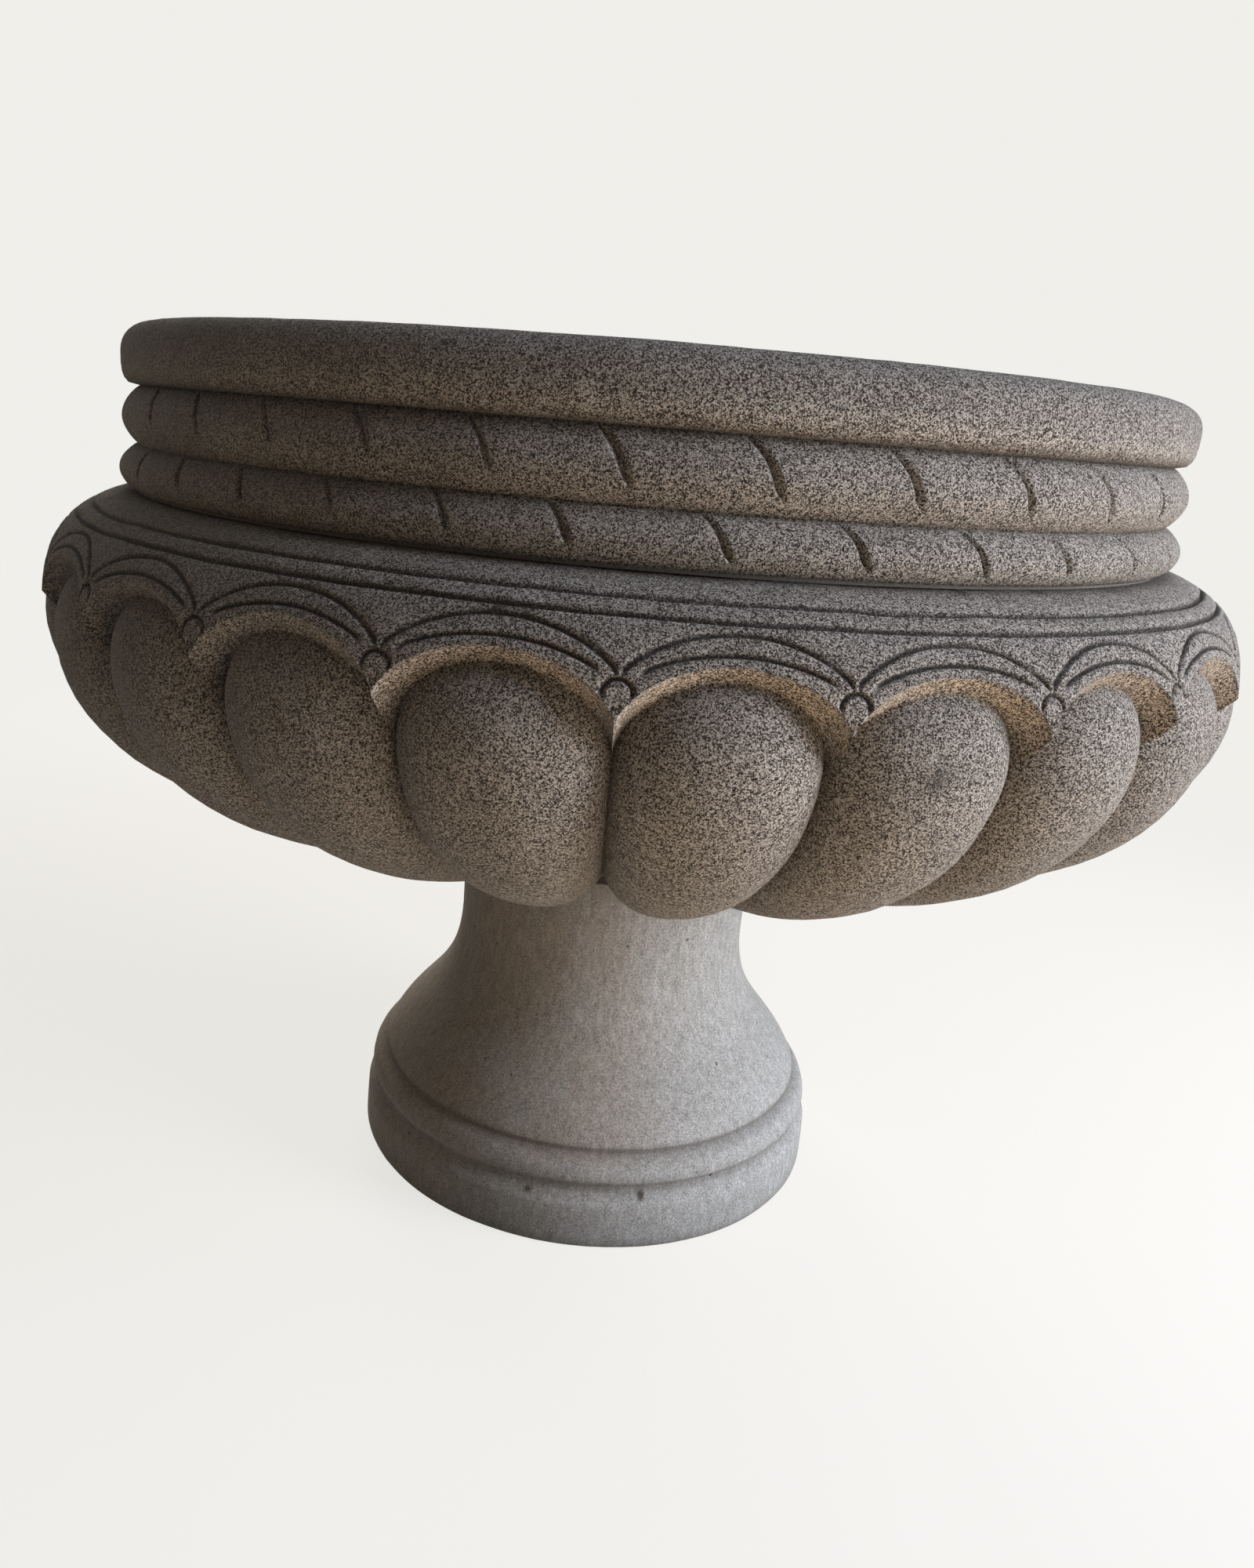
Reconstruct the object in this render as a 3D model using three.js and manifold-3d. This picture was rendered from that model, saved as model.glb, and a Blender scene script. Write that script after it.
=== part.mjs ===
// Garden urn planter in carved granite: a wide gadrooned bowl on a turned stone
// pedestal, under a separate ring course that carries the rim and two roped mouldings.
// Millimetres, +Z up, origin on the ground at the centre of the pedestal's foot.

import * as THREE from 'three';
import { mergeVertices } from 'three/addons/utils/BufferGeometryUtils.js';
import Module from 'manifold-3d';

const manifold = await Module();
manifold.setup();

// ---------------------------------------------------------------- driving dimensions
// Radii follow the foot, the neck, the belly and the rim. Heights stack up from the
// ground, each course on the one below it.

// Pedestal
const FOOT_RADIUS = 255;
const FOOT_EDGE = 4; // worn arris round the foot
const DRUM = { height: 48, draft: 1 }; // plain drum at the foot
const BROAD_GROOVE = { inset: 9, rise: 12, width: 8, lip: 4 }; // soft step above the drum
const BAND = { inset: 5, height: 16, taper: 4 }; // plain band between the two grooves
const FINE_GROOVE = { inset: 20, rise: 8, width: 5 }; // incised line under the bell
const BELL_HANDLE = { inset: 45, rise: 54 }; // sets how full the bell is
const NECK_RADIUS = 157;
const NECK_HANDLE_RISE = 66; // sets how soon the bell turns into the neck
const NECK_RISE = 163; // from the bell's foot to where it is narrowest
const NECK_FLARE = { height: 86, spread: 2 }; // the neck above its narrowest level

// Bowl
const FOOT_BED_THICKNESS = 4;
const SEAT_OVERHANG = 4; // how far the bowl's flat underside passes the pedestal's top
const BELLY_RADIUS = 572;
const BELLY_RISE = 251; // from the seat to the widest level of the bowl
const UNDERSIDE_HANDLE = { inset: 212, rise: 50 }; // slope and fullness of the underside
const BELLY_HANDLES = { below: 164, above: 45 }; // set how round the belly is
const SHOULDER_RISE = 92; // from the belly to the flat top that carries the ring course
const SHOULDER_SETBACK = 4; // behind the rim
const SHOULDER_HANDLE = { inset: 24, drop: 10 }; // slope of the shoulder
const LOBES = 24;
const FIRST_LOBE = 6.7; // degrees to the right of the front
const LOBE_DEPTH = 72; // how deep the valleys between lobes are cut
const LOBE_DEPTH_PER_HALF_WIDTH = 1.15; // the valleys run out toward the seat
const LOBE_FULLNESS = 2.8; // 2 is an ellipse, more is fuller
const LOBE_DOME = 90; // length of the rounded upper end of a lobe
const LOBE_WAIST_DROP = 30; // where that rounded end begins, under the belly's level
const LOBE_TIP_RISE = 40; // top of a lobe on its centre line, over the belly's level
const ARCH_CROWN_RISE = 52; // edge of the cove over a lobe
const ARCH_SPRING_RISE = 1; // point between two lobes, where their coves meet

// Ring course: two roped mouldings and the rim
const RIM_RADIUS = 500;
const RING_WALL = 70; // stone between the rim's outside and the planting mouth
const RING_BED_THICKNESS = 3;
const RING_FOOT_INSET = 6;
const LOWER_ROPE = { inset: 13, height: 37, bulge: 12.5, steps: 4, firstCut: -57.4, slant: 3.2 };
const UPPER_ROPE = { inset: 15, height: 49, bulge: 14.5, steps: 5, firstCut: -54.0, slant: 4.0 };
const ROPE_CUTS = 34;
const CUT_WIDTH = 9;
const CUT_DEPTH = 5;
const ROPE_SQUARENESS = 0.8; // 1 is a plain arc, less is fuller at the edges
const RIM_HEIGHT = 52;
const RIM_TOP_ROUND = 24;
const RIM_FOOT = { start: 3, rise: 6, height: 18 }; // the rim's lower edge, rounded in two steps
const MOUTH_CHAMFER = 6;

// Planting hollow, inside the bowl and the ring course
const FLOOR_THICKNESS = 72; // stone over the seat
const FLOOR_RADIUS = 150;
const BOWL_WALL = 58; // stone left behind the deepest valleys
const HOLLOW_WAIST_RISE = 35; // where the hollow is widest, over the belly's level
// How the hollow's floor turns up into its wall
const HOLLOW_HANDLES = { floorInset: 112, floorRise: 4, wallDrop: 130 };

// Mortar beds, dowels and drain
const BED_RECESS = 9; // the bed under the bowl stops short of the pedestal's edge
const RING_BED_RECESS = { inner: 4, outer: 11 };
const FOOT_DOWEL_MARGIN = 45; // from the bed's edge to the dowels' centres
const RING_DOWEL_MARGIN = 36; // from the planting mouth to the dowels' centres
const DOWEL_CLEARANCE = 0.5;
const SOCKET_SLACK = 2; // room past each end of a dowel
const DRAIN = { radius: 25, wall: 3, lip: 11, lipThickness: 3, length: 110 };
const DRAIN_CLEARANCE = 0.5;
const DRAIN_SINK = 1; // the sleeve's lip lies this far below the floor, in a rebate
const BORE_CLEARANCE = 5; // round the sleeve, inside the pedestal
const BED_EYE_CLEARANCE = 4; // round the pedestal's bore
const OVERCUT = 10; // how far a cutter runs past the stone it cuts

// ---------------------------------------------------------------- levels and radii

const GROOVE_BOTTOM = DRUM.height + BROAD_GROOVE.rise;
const GROOVE_TOP = GROOVE_BOTTOM + BROAD_GROOVE.width;
const BAND_TOP = GROOVE_TOP + BROAD_GROOVE.lip + BAND.height;
const LINE_BOTTOM = BAND_TOP + FINE_GROOVE.rise;
const BELL_FOOT = LINE_BOTTOM + FINE_GROOVE.width;
const NECK_HEIGHT = BELL_FOOT + NECK_RISE;
const PEDESTAL_TOP = NECK_HEIGHT + NECK_FLARE.height;
const PEDESTAL_TOP_RADIUS = NECK_RADIUS + NECK_FLARE.spread;
const PEDESTAL_BORE = DRAIN.radius + BORE_CLEARANCE;

const SEAT_HEIGHT = PEDESTAL_TOP + FOOT_BED_THICKNESS;
const SEAT_RADIUS = PEDESTAL_TOP_RADIUS + SEAT_OVERHANG;
const BELLY_HEIGHT = SEAT_HEIGHT + BELLY_RISE;
const SHOULDER_HEIGHT = BELLY_HEIGHT + SHOULDER_RISE;
const SHOULDER_RADIUS = RIM_RADIUS - SHOULDER_SETBACK;
const LOBE_WAIST_HEIGHT = BELLY_HEIGHT - LOBE_WAIST_DROP;
const LOBE_TIP_HEIGHT = BELLY_HEIGHT + LOBE_TIP_RISE;
const ARCH_CROWN_HEIGHT = BELLY_HEIGHT + ARCH_CROWN_RISE;
const ARCH_SPRING_HEIGHT = BELLY_HEIGHT + ARCH_SPRING_RISE;

const RING_FOOT = {
  radius: RIM_RADIUS - RING_FOOT_INSET,
  height: SHOULDER_HEIGHT + RING_BED_THICKNESS,
};
const LOWER_VALLEY = {
  radius: RIM_RADIUS - LOWER_ROPE.inset,
  height: RING_FOOT.height + LOWER_ROPE.height,
};
const UPPER_VALLEY = {
  radius: RIM_RADIUS - UPPER_ROPE.inset,
  height: LOWER_VALLEY.height + UPPER_ROPE.height,
};
const OVERALL_HEIGHT = UPPER_VALLEY.height + RIM_HEIGHT;
const MOUTH_RADIUS = RIM_RADIUS - RING_WALL;

const FLOOR_HEIGHT = SEAT_HEIGHT + FLOOR_THICKNESS;
const LIP_RADIUS = DRAIN.radius + DRAIN.lip;
const REBATE_DEPTH = DRAIN.lipThickness + DRAIN_SINK;
const HOLLOW_RADIUS = BELLY_RADIUS - LOBE_DEPTH - BOWL_WALL;
const HOLLOW_WAIST_HEIGHT = BELLY_HEIGHT + HOLLOW_WAIST_RISE;

const BED_RADIUS = PEDESTAL_TOP_RADIUS - BED_RECESS;
const BED_EYE = PEDESTAL_BORE + BED_EYE_CLEARANCE;
const RING_BED_INNER = MOUTH_RADIUS + RING_BED_RECESS.inner;
const RING_BED_OUTER = RIM_RADIUS - RING_BED_RECESS.outer;
const FOOT_JOINT = (PEDESTAL_TOP + SEAT_HEIGHT) / 2;
const RING_JOINT = (SHOULDER_HEIGHT + RING_FOOT.height) / 2;
const FOOT_DOWELS = {
  count: 3,
  circle: BED_RADIUS - FOOT_DOWEL_MARGIN,
  radius: 8,
  length: 92,
  first: 90,
};
const RING_DOWELS = {
  count: 4,
  circle: MOUTH_RADIUS + RING_DOWEL_MARGIN,
  radius: 6,
  length: 64,
  first: 45,
};

// Facets
const TURNED_SEGMENTS = 48;
const HOLLOW_SEGMENTS = 60;
const DOWEL_SEGMENTS = 12;
const DRAIN_SEGMENTS = 24;
const LOBE_ROWS = 9;
const ROW_CROWDING = 1.35; // above 1 sets the rows closer together near the seat
const SHOULDER_ROWS = 4;
const LOBE_COLUMNS = [-1, -0.86, -0.5, 0, 0.5, 0.86]; // across a lobe, -1 is its valley

// ---------------------------------------------------------------- materials

const stone = (color) => new THREE.MeshStandardMaterial({ color, roughness: 0.92, metalness: 0 });
const granite = () => stone(0x8f857a);
const paleStone = () => stone(0xb3aca3);
const mortar = () => stone(0x9b948a);
const stainless = () =>
  new THREE.MeshStandardMaterial({ color: 0xc2c4c6, roughness: 0.35, metalness: 1 });
const plastic = () =>
  new THREE.MeshStandardMaterial({ color: 0x3b3c3d, roughness: 0.6, metalness: 0 });

// ---------------------------------------------------------------- helpers

const radians = THREE.MathUtils.degToRad;
const at = (radius, height) => new THREE.Vector2(radius, height);

/** A point on the object: angle 0 is the front, toward -Y, and grows to the right. */
function onRing(angle, radius, height) {
  return new THREE.Vector3(radius * Math.sin(angle), -radius * Math.cos(angle), height);
}

/** Turns a closed outline of (radius, height) points about the Z axis. */
function turned(outline, segments = TURNED_SEGMENTS) {
  const loop = [...outline, outline[0].clone()];
  return new THREE.LatheGeometry(loop, segments).rotateX(Math.PI / 2);
}

/** An upright cylinder between two heights, centred at x, y. */
function rod(radius, bottom, top, x = 0, y = 0, segments = DOWEL_SEGMENTS) {
  return new THREE.CylinderGeometry(radius, radius, top - bottom, segments)
    .rotateX(Math.PI / 2)
    .translate(x, y, (bottom + top) / 2);
}

/** The solid that a closed geometry bounds. */
function solid(geometry) {
  const plain = geometry.clone().deleteAttribute('normal').deleteAttribute('uv');
  const merged = mergeVertices(plain, 1e-4);
  return new manifold.Manifold(
    new manifold.Mesh({
      numProp: 3,
      vertProperties: new Float32Array(merged.attributes.position.array),
      triVerts: new Uint32Array(merged.index.array),
    }),
  );
}

/** The geometry of a solid. */
function geometryOf(body) {
  const mesh = body.getMesh();
  const geometry = new THREE.BufferGeometry();
  geometry.setAttribute('position', new THREE.BufferAttribute(mesh.vertProperties, 3));
  geometry.setIndex(new THREE.BufferAttribute(mesh.triVerts, 1));
  geometry.computeVertexNormals();
  return geometry;
}

/** What is left of a geometry once the cutters are taken out of it. */
function cut(geometry, cutters) {
  const rest = cutters.reduce((body, cutter) => body.subtract(solid(cutter)), solid(geometry));
  return geometryOf(rest);
}

function piece(name, geometry, material) {
  const mesh = new THREE.Mesh(geometry, material);
  mesh.name = name;
  return mesh;
}

/**
 * Skins rings of points, bottom to top. closed joins the last ring to the first, as in a
 * hollow course; otherwise both ends are closed by flat fans.
 */
function skinned(rings, closed) {
  const around = rings[0].length;
  const positions = rings.flat().flatMap((point) => point.toArray());
  const index = [];
  const bands = closed ? rings.length : rings.length - 1;
  for (let row = 0; row < bands; row++) {
    const lower = row * around;
    const upper = ((row + 1) % rings.length) * around;
    for (let i = 0; i < around; i++) {
      const next = (i + 1) % around;
      index.push(lower + i, lower + next, upper + next, lower + i, upper + next, upper + i);
    }
  }
  if (!closed) {
    const last = (rings.length - 1) * around;
    const bottomHub = positions.length / 3;
    positions.push(0, 0, rings[0][0].z, 0, 0, rings.at(-1)[0].z);
    for (let i = 0; i < around; i++) {
      const next = (i + 1) % around;
      index.push(bottomHub, next, i, bottomHub + 1, last + i, last + next);
    }
  }
  const geometry = new THREE.BufferGeometry();
  geometry.setAttribute('position', new THREE.Float32BufferAttribute(positions, 3));
  geometry.setAttribute('uv', new THREE.Float32BufferAttribute((positions.length / 3) * 2, 2));
  geometry.setIndex(index);
  geometry.computeVertexNormals();
  return geometry;
}

// ---------------------------------------------------------------- pedestal

function pedestal() {
  const bell = new THREE.CubicBezierCurve(
    at(FOOT_RADIUS - FINE_GROOVE.inset, BELL_FOOT),
    at(FOOT_RADIUS - BELL_HANDLE.inset, BELL_FOOT + BELL_HANDLE.rise),
    at(NECK_RADIUS, BELL_FOOT + NECK_HANDLE_RISE),
    at(NECK_RADIUS, NECK_HEIGHT),
  );
  const outline = [
    at(PEDESTAL_BORE, 0),
    at(FOOT_RADIUS - FOOT_EDGE, 0),
    at(FOOT_RADIUS, FOOT_EDGE),
    at(FOOT_RADIUS - DRUM.draft, DRUM.height),
    at(FOOT_RADIUS - BROAD_GROOVE.inset, GROOVE_BOTTOM),
    at(FOOT_RADIUS - BROAD_GROOVE.inset, GROOVE_TOP),
    at(FOOT_RADIUS - BAND.inset, GROOVE_TOP + BROAD_GROOVE.lip),
    at(FOOT_RADIUS - BAND.inset - BAND.taper, BAND_TOP),
    at(FOOT_RADIUS - FINE_GROOVE.inset, LINE_BOTTOM),
    ...bell.getPoints(8),
    at(PEDESTAL_TOP_RADIUS, PEDESTAL_TOP),
    at(PEDESTAL_BORE, PEDESTAL_TOP),
  ];
  return cut(turned(outline), dowelSockets(FOOT_DOWELS, FOOT_JOINT));
}

// ---------------------------------------------------------------- bowl

/** The smooth outside of the bowl before carving, from the seat up to the shoulder. */
const UNDERSIDE = new THREE.CubicBezierCurve(
  at(SEAT_RADIUS, SEAT_HEIGHT),
  at(BELLY_RADIUS - UNDERSIDE_HANDLE.inset, SEAT_HEIGHT + UNDERSIDE_HANDLE.rise),
  at(BELLY_RADIUS, BELLY_HEIGHT - BELLY_HANDLES.below),
  at(BELLY_RADIUS, BELLY_HEIGHT),
);
const SHOULDER = new THREE.CubicBezierCurve(
  at(BELLY_RADIUS, BELLY_HEIGHT),
  at(BELLY_RADIUS, BELLY_HEIGHT + BELLY_HANDLES.above),
  at(BELLY_RADIUS - SHOULDER_HANDLE.inset, SHOULDER_HEIGHT - SHOULDER_HANDLE.drop),
  at(SHOULDER_RADIUS, SHOULDER_HEIGHT),
);

/** Parameter in 0..1 at which a rising curve reaches a height. */
function parameterAtHeight(curve, height) {
  let low = 0;
  let high = 1;
  while (high - low > 1e-6) {
    const middle = (low + high) / 2;
    if (curve.getPoint(middle).y < height) low = middle;
    else high = middle;
  }
  return low;
}

/** The uncarved surface at a height: its point and its outward direction. */
function bowlSurface(height) {
  const curve = height < BELLY_HEIGHT ? UNDERSIDE : SHOULDER;
  const t = parameterAtHeight(curve, height);
  const tangent = curve.getTangent(t);
  return { point: curve.getPoint(t), outward: at(tangent.y, -tangent.x) };
}

/** How far the lobes lie under the uncarved surface; across is -1..1 over a lobe. */
function lobeRecess(across, radius, height) {
  const halfWidth = radius * radians(180 / LOBES);
  const depth = Math.min(LOBE_DEPTH, LOBE_DEPTH_PER_HALF_WIDTH * halfWidth);
  const rise = Math.max(0, (height - LOBE_WAIST_HEIGHT) / LOBE_DOME);
  const reach = Math.min(1, Math.abs(across) ** LOBE_FULLNESS + rise ** LOBE_FULLNESS);
  return depth * (1 - (1 - reach) ** (1 / LOBE_FULLNESS));
}

/** Heights of the rows of points on one column across a lobe. */
function rowHeights(across) {
  const roundness = Math.sqrt(1 - across * across);
  const tip = LOBE_WAIST_HEIGHT + (LOBE_TIP_HEIGHT - LOBE_WAIST_HEIGHT) * roundness;
  const arch = ARCH_SPRING_HEIGHT + (ARCH_CROWN_HEIGHT - ARCH_SPRING_HEIGHT) * roundness;
  const lobe = Array.from({ length: LOBE_ROWS + 1 }, (_, row) => {
    const share = (row / LOBE_ROWS) ** ROW_CROWDING;
    return THREE.MathUtils.lerp(SEAT_HEIGHT, tip, share);
  });
  const shoulder = Array.from({ length: SHOULDER_ROWS }, (_, row) => {
    const share = Math.sin(((row + 1) / SHOULDER_ROWS) * (Math.PI / 2));
    return THREE.MathUtils.lerp(arch, SHOULDER_HEIGHT, share);
  });
  return { lobe, arch, shoulder };
}

/** One column of the carved outside, from the seat up to the shoulder. */
function bowlColumn(angle, across) {
  const { lobe, arch, shoulder } = rowHeights(across);
  const carved = lobe.map((height, row) => {
    const { point, outward } = bowlSurface(height);
    const recess = row === 0 ? 0 : lobeRecess(across, point.x, height);
    return point.addScaledVector(outward, -recess);
  });
  const plain = [arch, ...shoulder].map((height) => bowlSurface(height).point);
  return [...carved, ...plain].map(({ x, y }) => onRing(angle, x, y));
}

function bowl() {
  const columns = [];
  for (let lobe = 0; lobe < LOBES; lobe++) {
    for (const across of LOBE_COLUMNS) {
      const degrees = FIRST_LOBE + ((lobe + across / 2) * 360) / LOBES;
      columns.push(bowlColumn(radians(degrees), across));
    }
  }
  const rings = columns[0].map((_, row) => columns.map((column) => column[row]));
  const side = new THREE.CubicBezierCurve(
    at(FLOOR_RADIUS, FLOOR_HEIGHT),
    at(HOLLOW_RADIUS - HOLLOW_HANDLES.floorInset, FLOOR_HEIGHT + HOLLOW_HANDLES.floorRise),
    at(HOLLOW_RADIUS, HOLLOW_WAIST_HEIGHT - HOLLOW_HANDLES.wallDrop),
    at(HOLLOW_RADIUS, HOLLOW_WAIST_HEIGHT),
  );
  const hollow = turned(
    [
      at(0, FLOOR_HEIGHT),
      ...side.getPoints(8),
      at(MOUTH_RADIUS, SHOULDER_HEIGHT),
      at(MOUTH_RADIUS, SHOULDER_HEIGHT + OVERCUT),
      at(0, SHOULDER_HEIGHT + OVERCUT),
    ],
    HOLLOW_SEGMENTS,
  );
  const drain = rod(
    DRAIN.radius + DRAIN_CLEARANCE,
    SEAT_HEIGHT - OVERCUT,
    FLOOR_HEIGHT + OVERCUT,
    0,
    0,
    DRAIN_SEGMENTS,
  );
  const rebate = rod(
    LIP_RADIUS + DRAIN_CLEARANCE,
    FLOOR_HEIGHT - REBATE_DEPTH,
    FLOOR_HEIGHT + OVERCUT,
    0,
    0,
    DRAIN_SEGMENTS,
  );
  return cut(skinned(rings, false), [
    hollow,
    drain,
    rebate,
    ...dowelSockets(FOOT_DOWELS, FOOT_JOINT),
    ...dowelSockets(RING_DOWELS, RING_JOINT),
  ]);
}

// ---------------------------------------------------------------- ring course

/** Heights and radii up one roped moulding, from the valley under it, as a low arc. */
function ropeSection(from, to, rope) {
  return Array.from({ length: rope.steps }, (_, step) => {
    const share = step / rope.steps;
    const swell = Math.sin(Math.PI * share) ** ROPE_SQUARENESS;
    return {
      radius: THREE.MathUtils.lerp(from.radius, to.radius, share) + rope.bulge * swell,
      height: THREE.MathUtils.lerp(from.height, to.height, share),
      turn: radians(rope.firstCut + rope.slant * (0.5 - share)),
      cutDepth: CUT_DEPTH * swell,
    };
  });
}

/** The rim's rounded outside, its flat top and the straight mouth. */
function rimSection() {
  const top = OVERALL_HEIGHT;
  const foot = UPPER_VALLEY.height;
  const turn = radians(UPPER_ROPE.firstCut - UPPER_ROPE.slant / 2);
  const plain = (radius, height) => ({ radius, height, turn, cutDepth: 0 });
  const eighth = Math.PI / 6;
  return [
    plain(UPPER_VALLEY.radius, foot),
    plain(RIM_RADIUS - RIM_FOOT.start, foot + RIM_FOOT.rise),
    plain(RIM_RADIUS, foot + RIM_FOOT.height),
    plain(RIM_RADIUS, top - RIM_TOP_ROUND),
    ...[1, 2, 3].map((step) =>
      plain(
        RIM_RADIUS - RIM_TOP_ROUND * (1 - Math.cos(step * eighth)),
        top - RIM_TOP_ROUND * (1 - Math.sin(step * eighth)),
      ),
    ),
    plain(MOUTH_RADIUS + MOUTH_CHAMFER, top),
    plain(MOUTH_RADIUS, top - MOUTH_CHAMFER),
    plain(MOUTH_RADIUS, RING_FOOT.height),
  ];
}

function collar() {
  const section = [
    ...ropeSection(RING_FOOT, LOWER_VALLEY, LOWER_ROPE),
    ...ropeSection(LOWER_VALLEY, UPPER_VALLEY, UPPER_ROPE),
    ...rimSection(),
  ];
  const pitch = (2 * Math.PI) / ROPE_CUTS;
  const lip = CUT_WIDTH / 2 / RIM_RADIUS;
  const offsets = [0, lip, pitch / 2, pitch - lip];
  const rings = section.map(({ radius, height, turn, cutDepth }) => {
    const ring = [];
    for (let cutIndex = 0; cutIndex < ROPE_CUTS; cutIndex++) {
      offsets.forEach((offset, column) => {
        const inward = column === 0 ? cutDepth : 0;
        ring.push(onRing(turn + cutIndex * pitch + offset, radius - inward, height));
      });
    }
    return ring;
  });
  return cut(skinned(rings, true), dowelSockets(RING_DOWELS, RING_JOINT));
}

// ---------------------------------------------------------------- beds, dowels, drain

/** Centres of a ring of dowels. */
function dowelCentres({ count, circle, first }) {
  return Array.from({ length: count }, (_, index) => {
    const angle = radians(first + (index * 360) / count);
    return at(circle * Math.cos(angle), circle * Math.sin(angle));
  });
}

/** Cutters a little wider and longer than a ring of dowels centred at a height. */
function dowelSockets(dowels, height) {
  const reach = dowels.length / 2 + SOCKET_SLACK;
  return dowelCentres(dowels).map(({ x, y }) =>
    rod(dowels.radius + DOWEL_CLEARANCE, height - reach, height + reach, x, y),
  );
}

function dowelPieces(name, dowels, height) {
  return dowelCentres(dowels).map(({ x, y }, index) => {
    const bar = rod(dowels.radius, -dowels.length / 2, dowels.length / 2);
    const dowel = piece(`${name}_${index + 1}`, bar, stainless());
    dowel.position.set(x, y, height);
    return dowel;
  });
}

/** A flat ring of mortar with the dowels' holes through it. */
function bed(inner, outer, bottom, top, dowels) {
  const outline = [at(inner, bottom), at(outer, bottom), at(outer, top), at(inner, top)];
  return cut(turned(outline, HOLLOW_SEGMENTS), dowelSockets(dowels, (bottom + top) / 2));
}

/** A sleeve that hangs by its lip in the bowl's floor and reaches into the pedestal. */
function drainSleeve() {
  const top = FLOOR_HEIGHT - DRAIN_SINK;
  const seat = FLOOR_HEIGHT - REBATE_DEPTH;
  const outline = [
    at(DRAIN.radius - DRAIN.wall, FLOOR_HEIGHT - DRAIN.length),
    at(DRAIN.radius, FLOOR_HEIGHT - DRAIN.length),
    at(DRAIN.radius, seat),
    at(LIP_RADIUS, seat),
    at(LIP_RADIUS, top),
    at(DRAIN.radius - DRAIN.wall, top),
  ];
  return turned(outline, DRAIN_SEGMENTS);
}

// ---------------------------------------------------------------- assembly

const urn = new THREE.Group();
urn.add(
  piece('pedestal', pedestal(), paleStone()),
  piece(
    'pedestal_bed',
    bed(BED_EYE, BED_RADIUS, PEDESTAL_TOP, SEAT_HEIGHT, FOOT_DOWELS),
    mortar(),
  ),
  piece('bowl', bowl(), granite()),
  piece(
    'collar_bed',
    bed(RING_BED_INNER, RING_BED_OUTER, SHOULDER_HEIGHT, RING_FOOT.height, RING_DOWELS),
    mortar(),
  ),
  piece('collar', collar(), granite()),
  ...dowelPieces('foot_dowel', FOOT_DOWELS, FOOT_JOINT),
  ...dowelPieces('collar_dowel', RING_DOWELS, RING_JOINT),
  piece('drain_sleeve', drainSleeve(), plastic()),
);

export default urn;
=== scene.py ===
"""Carved granite urn planter on a turned limestone pedestal, dressed around its CAD frame.

The bowl is one block with 24 lobes under an arcade of double incised arcs and ringed
bosses. The ring course above it carries two roped mouldings and the rim. Sizes are in
millimetres, as a mason measures, and become metres when a mesh is made. Angles are
degrees round the urn, from 0 at the front and growing to the right.
"""

import itertools
import logging
import math
from dataclasses import dataclass, field
from enum import Enum
from typing import Any, Mapping, Optional, Sequence, Union

import bpy
import numpy as np
from mathutils import Matrix, Vector


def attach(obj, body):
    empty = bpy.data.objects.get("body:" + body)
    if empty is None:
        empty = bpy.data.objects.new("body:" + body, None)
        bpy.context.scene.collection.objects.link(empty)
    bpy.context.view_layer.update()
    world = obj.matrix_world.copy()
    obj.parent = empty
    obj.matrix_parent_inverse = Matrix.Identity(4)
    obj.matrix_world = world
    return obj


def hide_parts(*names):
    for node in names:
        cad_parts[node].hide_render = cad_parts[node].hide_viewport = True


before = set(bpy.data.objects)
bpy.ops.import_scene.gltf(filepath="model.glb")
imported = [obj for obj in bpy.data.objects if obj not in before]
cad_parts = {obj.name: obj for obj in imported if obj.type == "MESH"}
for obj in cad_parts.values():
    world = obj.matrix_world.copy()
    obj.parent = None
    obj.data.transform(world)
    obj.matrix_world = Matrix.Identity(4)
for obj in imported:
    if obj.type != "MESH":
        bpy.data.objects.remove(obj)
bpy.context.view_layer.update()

MM = 0.001
BODY = "root"
CURVE_POINTS = 601
DIRECTION_STEP = 0.5  # millimetres either way, to find which way an outline runs
SHUT_CUT = 0.01  # half width in millimetres of a cut that has run out
FIXED_ROWS_SHARE = 0.42  # the most of a band that the rows close to one edge take

log = logging.getLogger("urn_planter")

Points = np.ndarray
Socket = bpy.types.NodeSocket
SocketKey = Union[str, int]


# ---------------------------------------------------------------- node and colour helpers


def linear(hex_colour: str) -> tuple[float, float, float, float]:
    """Turns an sRGB hex colour such as "#8e857b" into a linear RGBA colour.

    Args:
        hex_colour: the colour as six hex digits after a hash.

    Returns:
        Red, green, blue and alpha, each 0 to 1, in linear light.
    """
    channels = [int(hex_colour[i : i + 2], 16) / 255 for i in (1, 3, 5)]
    bent = [c / 12.92 if c <= 0.04045 else ((c + 0.055) / 1.055) ** 2.4 for c in channels]
    return (bent[0], bent[1], bent[2], 1.0)


def add_node(
    tree: bpy.types.NodeTree,
    kind: str,
    inputs: Optional[Mapping[SocketKey, Any]] = None,
    stops: Sequence[tuple[float, str]] = (),
    **settings: Any,
) -> bpy.types.Node:
    """Adds a node to a tree with its inputs and settings.

    Args:
        tree: the node tree of a material or world.
        kind: the node's type name without its "ShaderNode" prefix.
        inputs: what each input gets, by name or index: another node's output or a value.
        stops: places and hex colours along a colour ramp.
        settings: properties of the node itself.

    Returns:
        The new node.
    """
    node = tree.nodes.new("ShaderNode" + kind)
    for name, value in settings.items():
        setattr(node, name, value)
    for key, value in (inputs or {}).items():
        if isinstance(value, Socket):
            tree.links.new(value, node.inputs[key])
        else:
            node.inputs[key].default_value = value
    for index, (place, colour) in enumerate(stops):
        elements = node.color_ramp.elements
        element = elements[index] if index < 2 else elements.new(place)
        element.position, element.color = place, linear(colour)
    return node


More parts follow.
